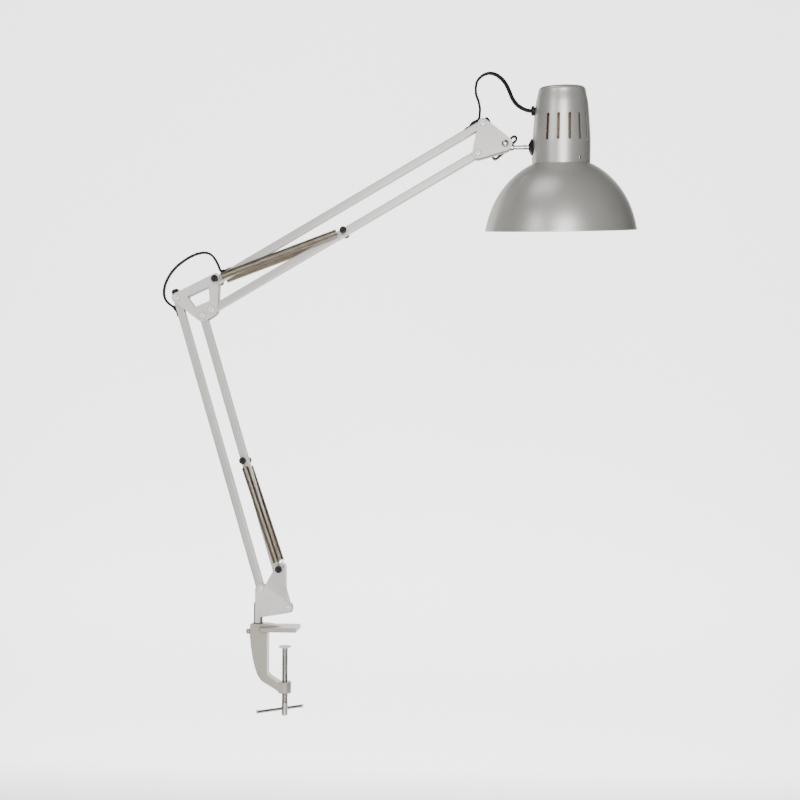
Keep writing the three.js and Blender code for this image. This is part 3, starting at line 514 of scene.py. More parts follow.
def sweep(name, path, section, side=None, twist=(0.0, 0.0)):
    """A closed body of that section along a path.

    side is where the section's first axis points, and twist turns the section about the path, from so much at
    its start to so much at its end.
    """
    path = [Vector(point) for point in path]
    tangents = [(after - before).normalized() for before, after in
                zip([path[0], *path[:-1]], [*path[1:], path[-1]])]
    first = Vector(side) if side else tangents[0].orthogonal()
    vertices, faces = [], []
    for step, (point, tangent) in enumerate(zip(path, tangents)):
        wanted = Vector(side) if side else first
        first = (wanted - tangent * tangent.dot(wanted)).normalized()
        second = tangent.cross(first)
        turn = Matrix.Rotation(twist[0] + (twist[1] - twist[0]) * step / len(path), 3, tangent)
        vertices.extend(point + turn @ (first * u + second * v) for u, v in section)
    count = len(section)
    for ring in range(len(path) - 1):
        for i in range(count):
            j = (i + 1) % count
            low, high = ring * count, (ring + 1) * count
            faces.append((low + i, low + j, high + j, high + i))
    faces.append(tuple(range(count))[::-1])
    faces.append(tuple(range((len(path) - 1) * count, len(path) * count)))
    return mesh_of(name, vertices, faces)


def box_mesh(name, width, depth, height, place):
    """A block centred on the place."""
    body = bmesh.new()
    bmesh.ops.create_cube(body, size=1, matrix=place @ Matrix.Diagonal((width, depth, height, 1)))
    mesh = bpy.data.meshes.new(name)
    body.to_mesh(mesh)
    body.free()
    return mesh


def joined(name, *meshes):
    """Several meshes as one."""
    body = bmesh.new()
    for mesh in meshes:
        body.from_mesh(mesh)
        bpy.data.meshes.remove(mesh)
    whole = bpy.data.meshes.new(name)
    body.to_mesh(whole)
    body.free()
    return whole


def worked(mesh, *steps):
    """The mesh after modifiers given as (type, settings)."""
    carrier = bpy.data.objects.new("work", mesh)
    bpy.context.scene.collection.objects.link(carrier)
    for kind, settings in steps:
        modifier = carrier.modifiers.new(kind, kind)
        for key, value in settings.items():
            setattr(modifier, key, value)
    seen = carrier.evaluated_get(bpy.context.evaluated_depsgraph_get())
    made = bpy.data.meshes.new_from_object(seen)
    name = mesh.name
    bpy.data.objects.remove(carrier)
    bpy.data.meshes.remove(mesh)
    made.name = name
    return made


def cut(mesh, *cutters):
    """The mesh less each cutter."""
    for cutter in cutters:
        tool = bpy.data.objects.new("cutter", cutter)
        bpy.context.scene.collection.objects.link(tool)
        mesh = worked(mesh, ("BOOLEAN", {"operation": "DIFFERENCE", "solver": "EXACT", "object": tool}))
        bpy.data.objects.remove(tool)
        bpy.data.meshes.remove(cutter)
    return mesh


def piece(mesh, slot, body, replaces=(), crease=34, finish=None):
    """Puts a finished mesh on its body, in its material, in place of the nodes it stands for."""
    made = bpy.data.objects.new(mesh.name, mesh)
    bpy.context.scene.collection.objects.link(made)
    mesh.materials.clear()
    mesh.materials.append(FINISHES[finish or slot])
    mesh.shade_smooth()
    mesh.set_sharp_from_angle(angle=math.radians(crease))
    if slot in FLAT_FACED:
        flats = made.modifiers.new("flat_faces", "WEIGHTED_NORMAL")
        flats.keep_sharp = True
    if body:
        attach(made, body)
    if replaces:
        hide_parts(*replaces)
    return made


def plate_pair(bracket, outline, edge, holes):
    """A bracket's front and rear plates, either side of the tubes."""
    for side, near, far in (("front", -PLATE_OUTER, -PLATE_INNER), ("rear", PLATE_INNER, PLATE_OUTER)):
        node = f"{bracket}_plate_{side}"
        plate = sheet_metal(f"{node}_pressed", outline, near, far, edge, holes)
        piece(plate, "pearl_silver", f"{bracket}_bracket", (node,))


# ---------------------------------------------------------------- fasteners
def rivet(node, centre, body):
    """A semi-tubular rivet: a domed factory head in front and a rolled-over end behind."""
    place = along_frame(flat_to_plane(centre), -DEPTH, side=(0, 0, 1))
    front = rounded([(0, GRIP + 0.0002), (0.0009, GRIP + 0.0002), (0.0011, GRIP + 0.0012),
                     (0.0016, GRIP + 0.0015),
                     (0.0032, GRIP + 0.0014), (0.0041, GRIP + 0.0010), (0.0045, GRIP + 0.0004),
                     (0.0045, GRIP),
                     (0.002, GRIP)], 0.0003)
    rear = [(radius, -height) for radius, height in front[::-1]]
    return piece(lathe(f"{node}_formed", front + rear, place, 40), "steel", body, (node,),
                 finish="lit_zinc")


def flat_to_plane(point):
    """The place in the arm plane with no depth."""
    return Vector((point[0], 0, point[-1]))


def cross_screw(node, centre, body):
    """A pan-head screw with a cross recess in front and a hexagon nut behind."""
    place = along_frame(flat_to_plane(centre), -DEPTH, side=(0, 0, 1))
    head = rounded([(0, GRIP + 0.0021), (0.0026, GRIP + 0.002), (0.0045, GRIP + 0.0011), (0.0045, GRIP),
                    (0.002, GRIP), (0.002, -GRIP - 0.0021), (0.0016, -GRIP - 0.0023), (0, -GRIP - 0.0023)],
                   0.0005)
    shank = lathe("shank", head, place, 40)
    arms = [box_mesh("arm", width, depth, 0.003, place @ Matrix.Translation((0, 0, GRIP + 0.0026))
                     @ Matrix.Rotation(math.radians(20), 4, "Z"))
            for width, depth in ((0.0050, 0.0012), (0.0012, 0.0050))]
    shank = cut(shank, *arms)
    nut = lathe("nut", [(0.0021, -GRIP - 0.0019), (0.0040, -GRIP - 0.0019), (0.0044, -GRIP - 0.0016),
                        (0.0044, -GRIP - 0.0003), (0.0040, -GRIP), (0.0021, -GRIP)], place, 6)
    return piece(joined(f"{node}_turned", shank, nut), "steel", body, (node,), finish="lit_zinc")


def spring_pin(node, centre, body):
    """A moulded pin with a flanged, dimpled head at each end."""
    place = along_frame(flat_to_plane(centre), -DEPTH, side=(0, 0, 1))
    end = PIN_LENGTH / 2
    front = rounded([(0, end - 0.0009), (0.0014, end - 0.0009), (0.0017, end - 0.0002), (0.0030, end),
                     (0.0043, end - 0.0005), (PIN_HEAD_RADIUS, end - 0.0013),
                     (PIN_HEAD_RADIUS, end - PIN_HEAD),
                     (0.0020, end - PIN_HEAD)], 0.0004)
    rear = [(radius, -height) for radius, height in front[::-1]]
    return piece(lathe(f"{node}_moulded", front + rear, place, 40), "black_plastic", body, (node,))


def end_plug(node, end, along, body, reach_out):
    """The domed plug that closes a square tube and stands out of it by reach_out."""
    place = along_frame(end, along)
    half = TUBE / 2 - 0.0001
    layers = [(half, GAP)]
    for turn in (math.radians(15 * i) for i in range(6)):
        layers.append((half * math.cos(turn) ** 0.5, GAP + (reach_out - GAP) * (0.3 + 0.7 * math.sin(turn))))
    vertices, faces = [], []
    corner_steps = 4
    for reach, height in layers:
        square = rounded([(-reach, -reach), (reach, -reach), (reach, reach), (-reach, reach)],
                         min(0.0016, reach * 0.6), corner_steps, closed=True)
        vertices.extend(place @ Vector((point.x, point.y, height)) for point in square)
    count = 4 * (corner_steps + 1)
    for layer in range(len(layers) - 1):
        for i in range(count):
            j = (i + 1) % count
            low, high = layer * count, (layer + 1) * count
            faces.append((low + i, low + j, high + j, high + i))
    faces.append(tuple(range(count))[::-1])
    faces.append(tuple(range((len(layers) - 1) * count, len(layers) * count)))
    inside = TUBE / 2 - TUBE_WALL - 0.0003
    stub = box_mesh("stub", 2 * inside, 2 * inside, 0.004, place @ Matrix.Translation((0, 0, -0.0018)))
    return piece(joined(f"{node}_moulded", mesh_of("cap", vertices, faces), stub), "black_plastic", body,
                 (node,))


# ---------------------------------------------------------------- tubes, grommets
def square_tube(node, start, end, slots=(), holes=()):
    """A square tube between two pivots, with side slots as (side, distance from start)."""
    sizes = bpy.context.scene.lamp_sizes
    along = (end - start).normalized()
    place = along_frame(start, along)
    low, high = -TUBE_OVERHANG, (end - start).length + TUBE_OVERHANG
    vertices, faces = [], []
    corner_steps = 4
    rings = []
    for half, corner, heights in (
        (TUBE / 2, sizes.tube_corner, (low, high)),
        (TUBE / 2 - TUBE_WALL, sizes.tube_corner * 0.4, (high, low)),
    ):
        square = rounded([(-half, -half), (half, -half), (half, half), (-half, half)], corner, corner_steps,
                         closed=True)
        for height in heights:
            rings.append(len(vertices))
            vertices.extend(place @ Vector((point.x, point.y, height)) for point in square)
    count = 4 * (corner_steps + 1)
    for first, second in zip(rings, rings[1:] + rings[:1]):
        for i in range(count):
            j = (i + 1) % count
            faces.append((first + i, first + j, second + j, second + i))
    mesh = mesh_of(f"{node}_drawn", vertices, faces)
    cutters = []
    for side, height in slots:
        width, depth, spot = TUBE, SLOT_ACROSS, (-TUBE / 2, 0, height)
        if side == "through":
            width, depth, spot = SLOT_ACROSS, TUBE, (0, TUBE / 2, height)
        cutters.append(box_mesh("slot", width, depth, SLOT_LONG, place @ Matrix.Translation(spot)))
    cutters += [lathe("hole", [(0, -TUBE), (PIVOT_HOLE, -TUBE), (PIVOT_HOLE, TUBE), (0, TUBE)],
                      place @ Matrix.Translation((0, 0, height)) @ Matrix.Rotation(math.pi / 2, 4, "X"), 24)
                for height in holes]
    return piece(cut(mesh, *cutters), "satin_silver", node, (node,))


def slot_grommet(name, centre, along, outward, body, nodes=()):
    """An oval moulded grommet round a slot, with the flex's way through it."""
    place = along_frame(centre, outward, side=along)
    half = SLOT_LONG / 2
    rings = [((half + 0.0010, 0.0043), 0.0003), ((half + 0.0010, 0.0043), 0.0009), ((half, 0.0038), 0.0015),
             ((half - 0.0008, 0.0033), 0.0015), ((half - 0.0012, 0.0030), 0.0011),
             ((half - 0.0012, 0.0029), -0.0012),
             ((half - 0.0006, 0.0031), -0.0012), ((half - 0.0006, 0.0031), 0.0003)]
    vertices, faces = [], []
    count = 40
    for (long_half, cross_half), height in rings:
        for i in range(count):
            turn = 2 * math.pi * i / count
            squeeze = (abs(math.cos(turn)) ** 4 + abs(math.sin(turn)) ** 4) ** -0.25
            vertices.append(place @ Vector((cross_half * squeeze * math.sin(turn),
                                            long_half * squeeze * math.cos(turn), height)))
    for ring in range(len(rings)):
        for i in range(count):
            j = (i + 1) % count
            low, high = ring * count, (ring + 1) % len(rings) * count
            faces.append((low + i, low + j, high + j, high + i))
    return piece(mesh_of(name, vertices, faces), "black_plastic", body, nodes)


# ---------------------------------------------------------------- springs
def coil_path(place, start, length, wire):
    """A close-wound helix."""
    turns = round(length / (wire * CLOSE_WOUND))
    radius = COIL_RADIUS - wire / 2
    steps = 14
    count = turns * steps
    points = []
    for i in range(count + 1):
        turn = 2 * math.pi * i / steps
        height = start + length * (i / count)
        points.append(place @ Vector((radius * math.cos(turn), radius * math.sin(turn), height)))
    return points


def hook_path(place, wire, shank, turned_in):
    """A wire eye round the pin at the origin and a shank that runs into the coils along +Z."""
    eye = 0.002 + 0.00035 + wire / 2
    steps = 26
    sweep_angle = math.radians(310)
    ring = []
    for i in range(steps + 1):
        turn = math.pi / 2 + sweep_angle * (i / steps - 1)
        ring.append(Vector((eye * math.cos(turn), wire * 0.15 * (i / steps - 0.5), eye * math.sin(turn))))
    tail = [Vector((0.0, 0.0, eye + wire)), Vector((0, 0, shank * 0.6)), Vector((0, 0, shank))]
    if turned_in:
        reach = COIL_RADIUS - wire / 2
        tail = [Vector((0.0004, 0, eye + 0.0012)), Vector((0.0016, 0, eye + 0.0026)),
                Vector((reach * 0.8, 0, shank - wire * 0.6)), Vector((reach, 0.0004, shank))]
    path = smooth_path([ring[-1], *tail], 6)
    return [place @ point for point in ring[:-1] + path]


def spring_pair(prefix, start, end, slides_at_root, bodies):
    """The springs in front of and behind an arm's tube, each with its hooks."""
    wire = bpy.context.scene.lamp_sizes.wire
    length = (end - start).length
    section = circle_section(wire / 2, 8)
    for side, depth in (("front", -SPRING_OFFSET), ("rear", SPRING_OFFSET)):
        offset = DEPTH * depth
        place = along_frame(start + offset, end - start)
        back = along_frame(end + offset, start - end)
        coils = coil_path(place, COIL_START + wire / 2, length - 2 * COIL_START - wire, wire)
        coil_name = f"{prefix}_coils_{side}"
        node = f"{prefix}_spring_{side}"
        coil_mesh = sweep(coil_name, coils, section)
        if slides_at_root:
            piece(coil_mesh, "spring_wire", bodies["coils"], (node,), 60)
            root = sweep(f"{prefix}_root_wire_{side}", hook_path(place, wire, HOOK_SHANK, False), section)
            piece(root, "spring_wire", bodies["root"], (f"{prefix}_root_hook_{side}",), 60)
        else:
            root = sweep("root", hook_path(place, wire, COIL_START + wire, True), section)
            piece(joined(coil_name, coil_mesh, root), "spring_wire", bodies["coils"], (node,), 60)
        tip = sweep(f"{prefix}_tip_wire_{side}", hook_path(back, wire, HOOK_SHANK, False), section)
        piece(tip, "spring_wire", bodies["tip"], (f"{prefix}_tip_hook_{side}",), 60)


# ---------------------------------------------------------------- operators, one for each group of pieces
class LAMP_OT_stage(bpy.types.Operator):
    """Sets the camera, the pale room and the soft lights"""

    bl_idname = "lamp.stage"
    bl_label = "Stage"

    def execute(self, context):
        scene = context.scene
        camera = bpy.data.objects.new("camera", bpy.data.cameras.new("camera"))
        scene.collection.objects.link(camera)
        camera.location = CAMERA_PLACE
        camera.rotation_euler = (math.pi / 2 + CAMERA_RISE, 0, CAMERA_TURN)
        camera.data.lens = CAMERA_LENS
        camera.data.sensor_width = 36
        camera.data.clip_end = 20
        scene.camera = camera

        room = Shader("room")
        grain = room.noise(3, 2)
        wall = room.mix(grain, (0.86, 0.86, 0.86, 1), (0.89, 0.89, 0.89, 1))
        across = room.node("ShaderNodeSeparateXYZ", inputs={0: room.place()}, output=1)
        glow = room.mix(room.ramp(across, 0.15, 0.6), (0, 0, 0, 1), (1, 1, 1, 1))
        room.set(Base_Color=wall, Roughness=0.9, Emission_Color=glow, Emission_Strength=2.6)
        profile = rounded([(-1.6, FLOOR_HEIGHT), (ROOM_DEPTH, FLOOR_HEIGHT), (ROOM_DEPTH, 1.38)], 0.3, 12)
        vertices = [(x, point.x, point.y) for point in profile for x in (-0.95, 1.08)]
        faces = [(2 * i, 2 * i + 1, 2 * i + 3, 2 * i + 2) for i in range(len(profile) - 1)]
        sweep_mesh = mesh_of("room", vertices, faces)
        backdrop = bpy.data.objects.new("room", sweep_mesh)
        scene.collection.objects.link(backdrop)
        sweep_mesh.materials.append(room.material)
        sweep_mesh.shade_smooth()

        world = bpy.data.worlds.new("surround")
        world.use_nodes = True
        background = world.node_tree.nodes["Background"]
        background.inputs["Color"].default_value = (0.95, 0.96, 1.0, 1)
        background.inputs["Strength"].default_value = 0.06
        scene.world = world
        for name, place, aim, size, power in (
            ("key", (0.42, -2.1, 0.35), (0.2, 0, 0.4), (0.9, 1.7), 48),
            ("left", (-1.1, -1.7, 0.9), (0.0, 0, 0.4), (0.6, 1.2), 11),
            ("top", (-0.2, -0.5, 1.9), (0.1, 0.0, 0.4), (0.8, 0.6), 4),
        ):
            light = bpy.data.lights.new(name, "AREA")
            light.shape = "RECTANGLE"
            light.size, light.size_y = size
            light.energy = power
            lamp = bpy.data.objects.new(name, light)
            scene.collection.objects.link(lamp)
            lamp.location = place
            lamp.rotation_euler = (Vector(aim) - Vector(place)).to_track_quat("-Z", "Y").to_euler()
        return {"FINISHED"}


class LAMP_OT_clamp(bpy.types.Operator):
    """Makes the cast clamp with its screws, pad and bar"""

    bl_idname = "lamp.clamp"
    bl_label = "Clamp"

    def execute(self, context):
        sizes = context.scene.lamp_sizes
        casting = frame["nodes"]["clamp_body"].data.copy()
        casting.name = "clamp_casting"
        casting = worked(
            casting,
            ("WELD", {"merge_threshold": 1e-5}),
            ("REMESH", {"mode": "VOXEL", "voxel_size": sizes.casting_edge, "use_smooth_shade": True}),
            ("SMOOTH", {"factor": 0.5, "iterations": 5}),
        )
        piece(casting, "cast_grey", "clamp", ("clamp_body",), 80)
        self.lock_screw()
        self.clamp_screw(sizes.thread_pitch)
        self.pad()
        self.bar()
        return {"FINISHED"}

    def lock_screw(self):
        """A slotted screw with a wide rim that grips the spindle."""
        low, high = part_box("lock_screw")
        place = along_frame((low[0], 0, (low[2] + high[2]) / 2), (1, 0, 0))
        length = high[0] - low[0]
        profile = rounded([(0, 0), (0.0027, 0), (0.0035, 0.0008), (0.0035, 0.0040), (0.0030, 0.0046),
                           (0.0024, 0.0049),
                           (0.0020, 0.0057), (0.0020, length), (0, length)], 0.0003)
        body = lathe("lock_screw_turned", profile, place, 32)
        slot = box_mesh("slot", 0.0009, 0.009, 0.0024, place @ Matrix.Rotation(0.5, 4, "Z"))
        piece(cut(body, slot), "steel", "lock_screw", ("lock_screw",))

    def clamp_screw(self, pitch):
        """A rolled thread below a turned-down end."""
        low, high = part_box("clamp_screw")
        radius = (high[0] - low[0]) / 2
        depth = 0.6 * pitch
        length = high[2] - low[2]
        around, per_pitch = 36, 8
        rows = int(length / pitch * per_pitch)
        vertices, faces = [(0, 0, low[2])], []
        for row in range(rows + 1):
            height = length * row / rows
            plain = height < 0.016 or height > length - 0.0015
            for i in range(around):
                turn = 2 * math.pi * i / around
                phase = (height / pitch - i / around) % 1
                cutback = 0 if plain else depth * (1 - abs(2 * phase - 1)) ** 1.2
                taper = max(0.0, 0.0009 - height, height - length + 0.0009)
                reach = radius - cutback - taper
                vertices.append((reach * math.cos(turn), reach * math.sin(turn), low[2] + height))
        vertices.append((0, 0, high[2]))
        for row in range(rows):
            for i in range(around):
                j = (i + 1) % around
                first, second = 1 + row * around, 1 + (row + 1) * around
                faces.append((first + i, first + j, second + j, second + i))
        last = 1 + rows * around
        for i in range(around):
            j = (i + 1) % around
            faces.append((0, 1 + j, 1 + i))
            faces.append((len(vertices) - 1, last + i, last + j))
        screw = mesh_of("clamp_screw_thread", vertices, faces)
        slide = next(joint for joint in frame["joints"] if joint["name"] == "tommy_bar_slide")
        bar_height = sum(corner[2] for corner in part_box("tommy_bar")) / 2
        place = along_frame((0, 0, bar_height), slide["axis"], side=(0, 0, 1))
        hole = lathe("hole", [(0, -0.01), (0.0023, -0.01), (0.0023, 0.01), (0, 0.01)], place, 24)
        piece(cut(screw, hole), "steel", "clamp_screw", ("clamp_screw",), 50)

    def pad(self):
        """A swivelling pad with a moulded rim."""
        low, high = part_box("clamp_pad")
        radius, height = (high[0] - low[0]) / 2, high[2] - low[2]
        profile = rounded([(0, -height), (radius - 0.0008, -height), (radius, -height + 0.0006),
                           (radius, -0.0005),
                           (radius - 0.0006, 0), (0.0062, 0), (0.0056, -0.0004), (0, -0.0004)], 0.0004)
        piece(lathe("pad_moulding", profile, Matrix.Translation((0, 0, high[2])), 48), "white_plastic",
              "clamp_pad", ("clamp_pad",))

    def bar(self):
        """A sliding bar whose ends are staked wider."""
        slide = next(joint for joint in frame["joints"] if joint["name"] == "tommy_bar_slide")
        low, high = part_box("tommy_bar")
        centre = [(first + last) / 2 for first, last in zip(low, high)]
        place = along_frame(centre, slide["axis"], side=(0, 0, 1))
        end = [(0, BAR_HALF), (0.0019, BAR_HALF), (0.0025, BAR_HALF - 0.0006), (0.0025, BAR_HALF - 0.0017),
               (0.0020, BAR_HALF - 0.0026)]
        profile = rounded(end + [(radius, -height) for radius, height in end[::-1]], 0.0003)
        piece(lathe("bar_turned", profile, place, 32), "steel", "tommy_bar", ("tommy_bar",))


class LAMP_OT_base(bpy.types.Operator):
    """Makes the base bracket: two pressed plates, the spindle, screws and spring studs"""

    bl_idname = "lamp.base"
    bl_label = "Base bracket"

    flare = 0.0046
    corner = 0.0066
    tongue = (-0.0385, -0.0314, 0.0096)  # left, right and bottom of the tab in front of the spindle

    def plate(self, node, side, edge):
        link = (flat(BASE_FRONT) - flat(BASE_REAR)).normalized()
        across = Vector((-link.y, link.x))
        rear, front, pin = flat(BASE_REAR), flat(BASE_FRONT), flat(BASE_PIN)
        left, right, bottom = self.tongue
        foot = [rear + across * self.corner + link * 0.0026, front + across * self.corner - link * 0.0069]
        reach = (pin - foot[0]).dot(across)
        body = outline_round([(rear, self.corner), (front, self.corner), ((left + 0.001, 0.0184), 0.001),
                              ((-0.029, 0.0184), 0.001)])
        ear = outline_round([(pin, 0.006), *((point, 0.0003) for point in foot)])
        raised = [point for point in ear if (point - foot[0]).dot(across) > 0.0004]
        middle = (foot[0] + foot[1]) / 2
        raised.sort(key=lambda point: math.atan2(*(point - middle).yx))
        outline = []
        for point, after in zip(body, body[1:] + body[:1]):
            low_corner = point.x < left + 0.0012 and point.y < 0.0185
            if not low_corner:
                outline.append(point)
            elif not outline or outline[-1].x > left + 0.0001 or outline[-1].y > 0.0100:
                outline.extend([Vector((left, bottom)), Vector((right, bottom)), Vector((right, 0.0174))])
            if (after - point).length > 0.03 and abs((point - foot[0]).dot(across)) < 0.0005:
                outline.extend([foot[1], *raised, foot[0]])
        near, far = (-PLATE_OUTER, -PLATE_INNER) if side < 0 else (PLATE_INNER, PLATE_OUTER)
        holes = [disc(centre, PIVOT_HOLE, 24) for centre in (rear, front, pin)]
        plate = sheet_metal(f"{node}_pressed", outline, near, far, edge, holes)
        bent = bmesh.new()
        bent.from_mesh(plate)
        for share in (0.0, 0.02, 0.04, 0.07, 0.11, 0.16, 0.22):
            origin = foot[0] + across * reach * share
            bmesh.ops.bisect_plane(bent, geom=bent.verts[:] + bent.edges[:] + bent.faces[:],
                                   plane_co=(origin.x, 0, origin.y), plane_no=(across.x, 0, across.y))
        for vertex in bent.verts:
            out = max(0.0, (flat(vertex.co) - foot[0]).dot(across)) / reach
            eased = out - 0.05 * (1 - math.exp(-out / 0.05))
            vertex.co.y += side * self.flare * eased / 0.95
        bent.to_mesh(plate)
        bent.free()
        return piece(plate, "pearl_silver", "base_bracket", (node,))

    def stud(self, node, side):
        place = along_frame(flat_to_plane(BASE_PIN), DEPTH * side, side=(0, 0, 1))
        head = PIN_LENGTH / 2
        seat = PLATE_INNER + self.flare
        profile = rounded([(0, seat - 0.0015), (0.0026, seat - 0.0015), (0.003, seat - 0.0009),
                           (0.002, seat - 0.0007),
                           (0.002, head - PIN_HEAD), (PIN_HEAD_RADIUS, head - PIN_HEAD),
                           (PIN_HEAD_RADIUS, head - 0.0012), (0.0042, head - 0.0004),
                           (0.0030, head), (0.0017, head - 0.0002), (0.0014, head - 0.0009),
                           (0, head - 0.0009)], 0.0003)
        piece(lathe(f"{node}_turned", profile, place, 40), "black_plastic", "base_bracket", (node,))

    def spindle(self):
        low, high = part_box("spindle")
        radius, top = (high[0] - low[0]) / 2, high[2]
        profile = rounded([(0, low[2]), (radius - 0.001, low[2]), (radius, low[2] + 0.001), (radius, 0.0075),
                           (radius - 0.0004, 0.008),
                           (radius - 0.0004, 0.0092), (radius, 0.0096), (radius, top - 0.0006),
                           (radius - 0.0006, top), (0, top)],
                          0.0003)
        place = Matrix.Translation((SPINDLE_X, 0, 0))
        shaft = lathe("spindle_turned", profile, place, 48)
        cheek = (0.02, 0.01, 0.04)
        cheeks = [box_mesh("cheek", *cheek, place @ Matrix.Translation((0, side * (TUBE + cheek[1]) / 2,
                                                                        0.0296)))
                  for side in (-1, 1)]
        piece(cut(shaft, *cheeks), "steel", "base_bracket", ("spindle",))

    def execute(self, context):
        edge = context.scene.lamp_sizes.plate_edge
        self.plate("base_plate_front", -1, edge)
        self.plate("base_plate_rear", 1, edge)
        self.spindle()
        self.stud("base_stud_front", -1)
        self.stud("base_stud_rear", 1)
        cross_screw("base_rear_screw", flat(BASE_REAR), "base_bracket")
        cross_screw("base_front_screw", flat(BASE_FRONT), "base_bracket")
        return {"FINISHED"}


class LAMP_OT_lower_arm(bpy.types.Operator):
    """Makes the lower arm's two tubes, plugs, grommets, springs and pin"""

    bl_idname = "lamp.lower_arm"
    bl_label = "Lower arm"

    def execute(self, context):
        length = (ELBOW_REAR - BASE_REAR).length
        slots = [("across", length - LEAD_SLOT), ("through", CORD_EXIT)]
        square_tube("lower_rear_tube", BASE_REAR, ELBOW_REAR, slots)
        square_tube("lower_front_tube", BASE_FRONT, ELBOW_FRONT)
        end_plug("lower_rear_plug", ELBOW_REAR + LOWER_ALONG * TUBE_OVERHANG, LOWER_ALONG, "lower_rear_tube",
                 TALL_PLUG)
        end_plug("lower_front_plug", BASE_FRONT - LOWER_ALONG * TUBE_OVERHANG, -LOWER_ALONG,
                 "lower_front_tube",
                 FLAT_PLUG)
        leftward = LOWER_ALONG.cross(DEPTH)
        slot_grommet("lower_lead_grommet_moulded",
                     ELBOW_REAR - LOWER_ALONG * LEAD_SLOT + leftward * TUBE / 2,
                     LOWER_ALONG, leftward, "lower_rear_tube", ("lower_lead_grommet",))
        slot_grommet("mains_grommet", BASE_REAR + LOWER_ALONG * CORD_EXIT + DEPTH * TUBE / 2, LOWER_ALONG,
                     DEPTH, "lower_rear_tube")
        spring_pin("lower_spring_pin", LOWER_PIN, "lower_front_tube")
        bodies = {"coils": "lower_springs", "tip": "lower_tip_hooks"}
        spring_pair("lower", BASE_PIN, LOWER_PIN, False, bodies)
        return {"FINISHED"}


class LAMP_OT_elbow(bpy.types.Operator):
    """Makes the elbow bracket: two windowed plates, rivets and the spring pin"""

    bl_idname = "lamp.elbow"
    bl_label = "Elbow bracket"

    def execute(self, context):
        edge = context.scene.lamp_sizes.plate_edge
        rear, front, low, top = (flat(point) for point in (ELBOW_REAR, ELBOW_FRONT, ELBOW_LOW, ELBOW_TOP))
        outline = outline_round([(rear, 0.0062), (front, 0.0083), (low, 0.0083),
                                 (top + Vector((-0.0012, 0.0044)), 0.0046)])
        window = outline_round([
            (rear + Vector((0.0174, 0.0004)), 0.002), (top + Vector((-0.0124, -0.0118)), 0.002),
            (low + Vector((-0.0046, 0.0132)), 0.002), (front + Vector((-0.0098, 0.0138)), 0.002),
        ])
        holes = [window, *(disc(centre, PIVOT_HOLE, 24) for centre in (rear, front, low, top))]
        plate_pair("elbow", outline, edge, holes)
        for node, centre in (("elbow_rear_rivet", rear), ("elbow_front_rivet", front),
                             ("elbow_low_rivet", low)):
            rivet(node, centre, "elbow_bracket")
        spring_pin("elbow_spring_pin", top, "elbow_bracket")
        return {"FINISHED"}


class LAMP_OT_upper_arm(bpy.types.Operator):
    """Makes the upper arm's two tubes, plugs, grommets, springs and pin"""

    bl_idname = "lamp.upper_arm"
    bl_label = "Upper arm"

    def execute(self, context):
        length = (HEAD_TOP - ELBOW_TOP).length
        slots = {"elbow_lead_grommet": LEAD_SLOT, "head_lead_grommet": length - LEAD_SLOT}
        square_tube("upper_top_tube", ELBOW_TOP, HEAD_TOP, [("across", height) for height in slots.values()])
        square_tube("upper_low_tube", ELBOW_LOW, HEAD_LOW)
        end_plug("upper_top_plug", HEAD_TOP + UPPER_ALONG * TUBE_OVERHANG, UPPER_ALONG, "upper_top_tube",
                 ROUND_PLUG)
        end_plug("upper_low_plug", ELBOW_LOW - UPPER_ALONG * TUBE_OVERHANG, -UPPER_ALONG, "upper_low_tube",
                 FLAT_PLUG)
        upward = UPPER_ALONG.cross(DEPTH)
        for node, height in slots.items():
            slot_grommet(f"{node}_moulded", ELBOW_TOP + UPPER_ALONG * height + upward * TUBE / 2,
                         UPPER_ALONG,
                         upward, "upper_top_tube", (node,))
        spring_pin("upper_spring_pin", UPPER_PIN, "upper_low_tube")
        bodies = {"coils": "upper_springs", "root": "upper_root_hooks", "tip": "upper_tip_hooks"}
        spring_pair("upper", ELBOW_TOP, UPPER_PIN, True, bodies)
        return {"FINISHED"}


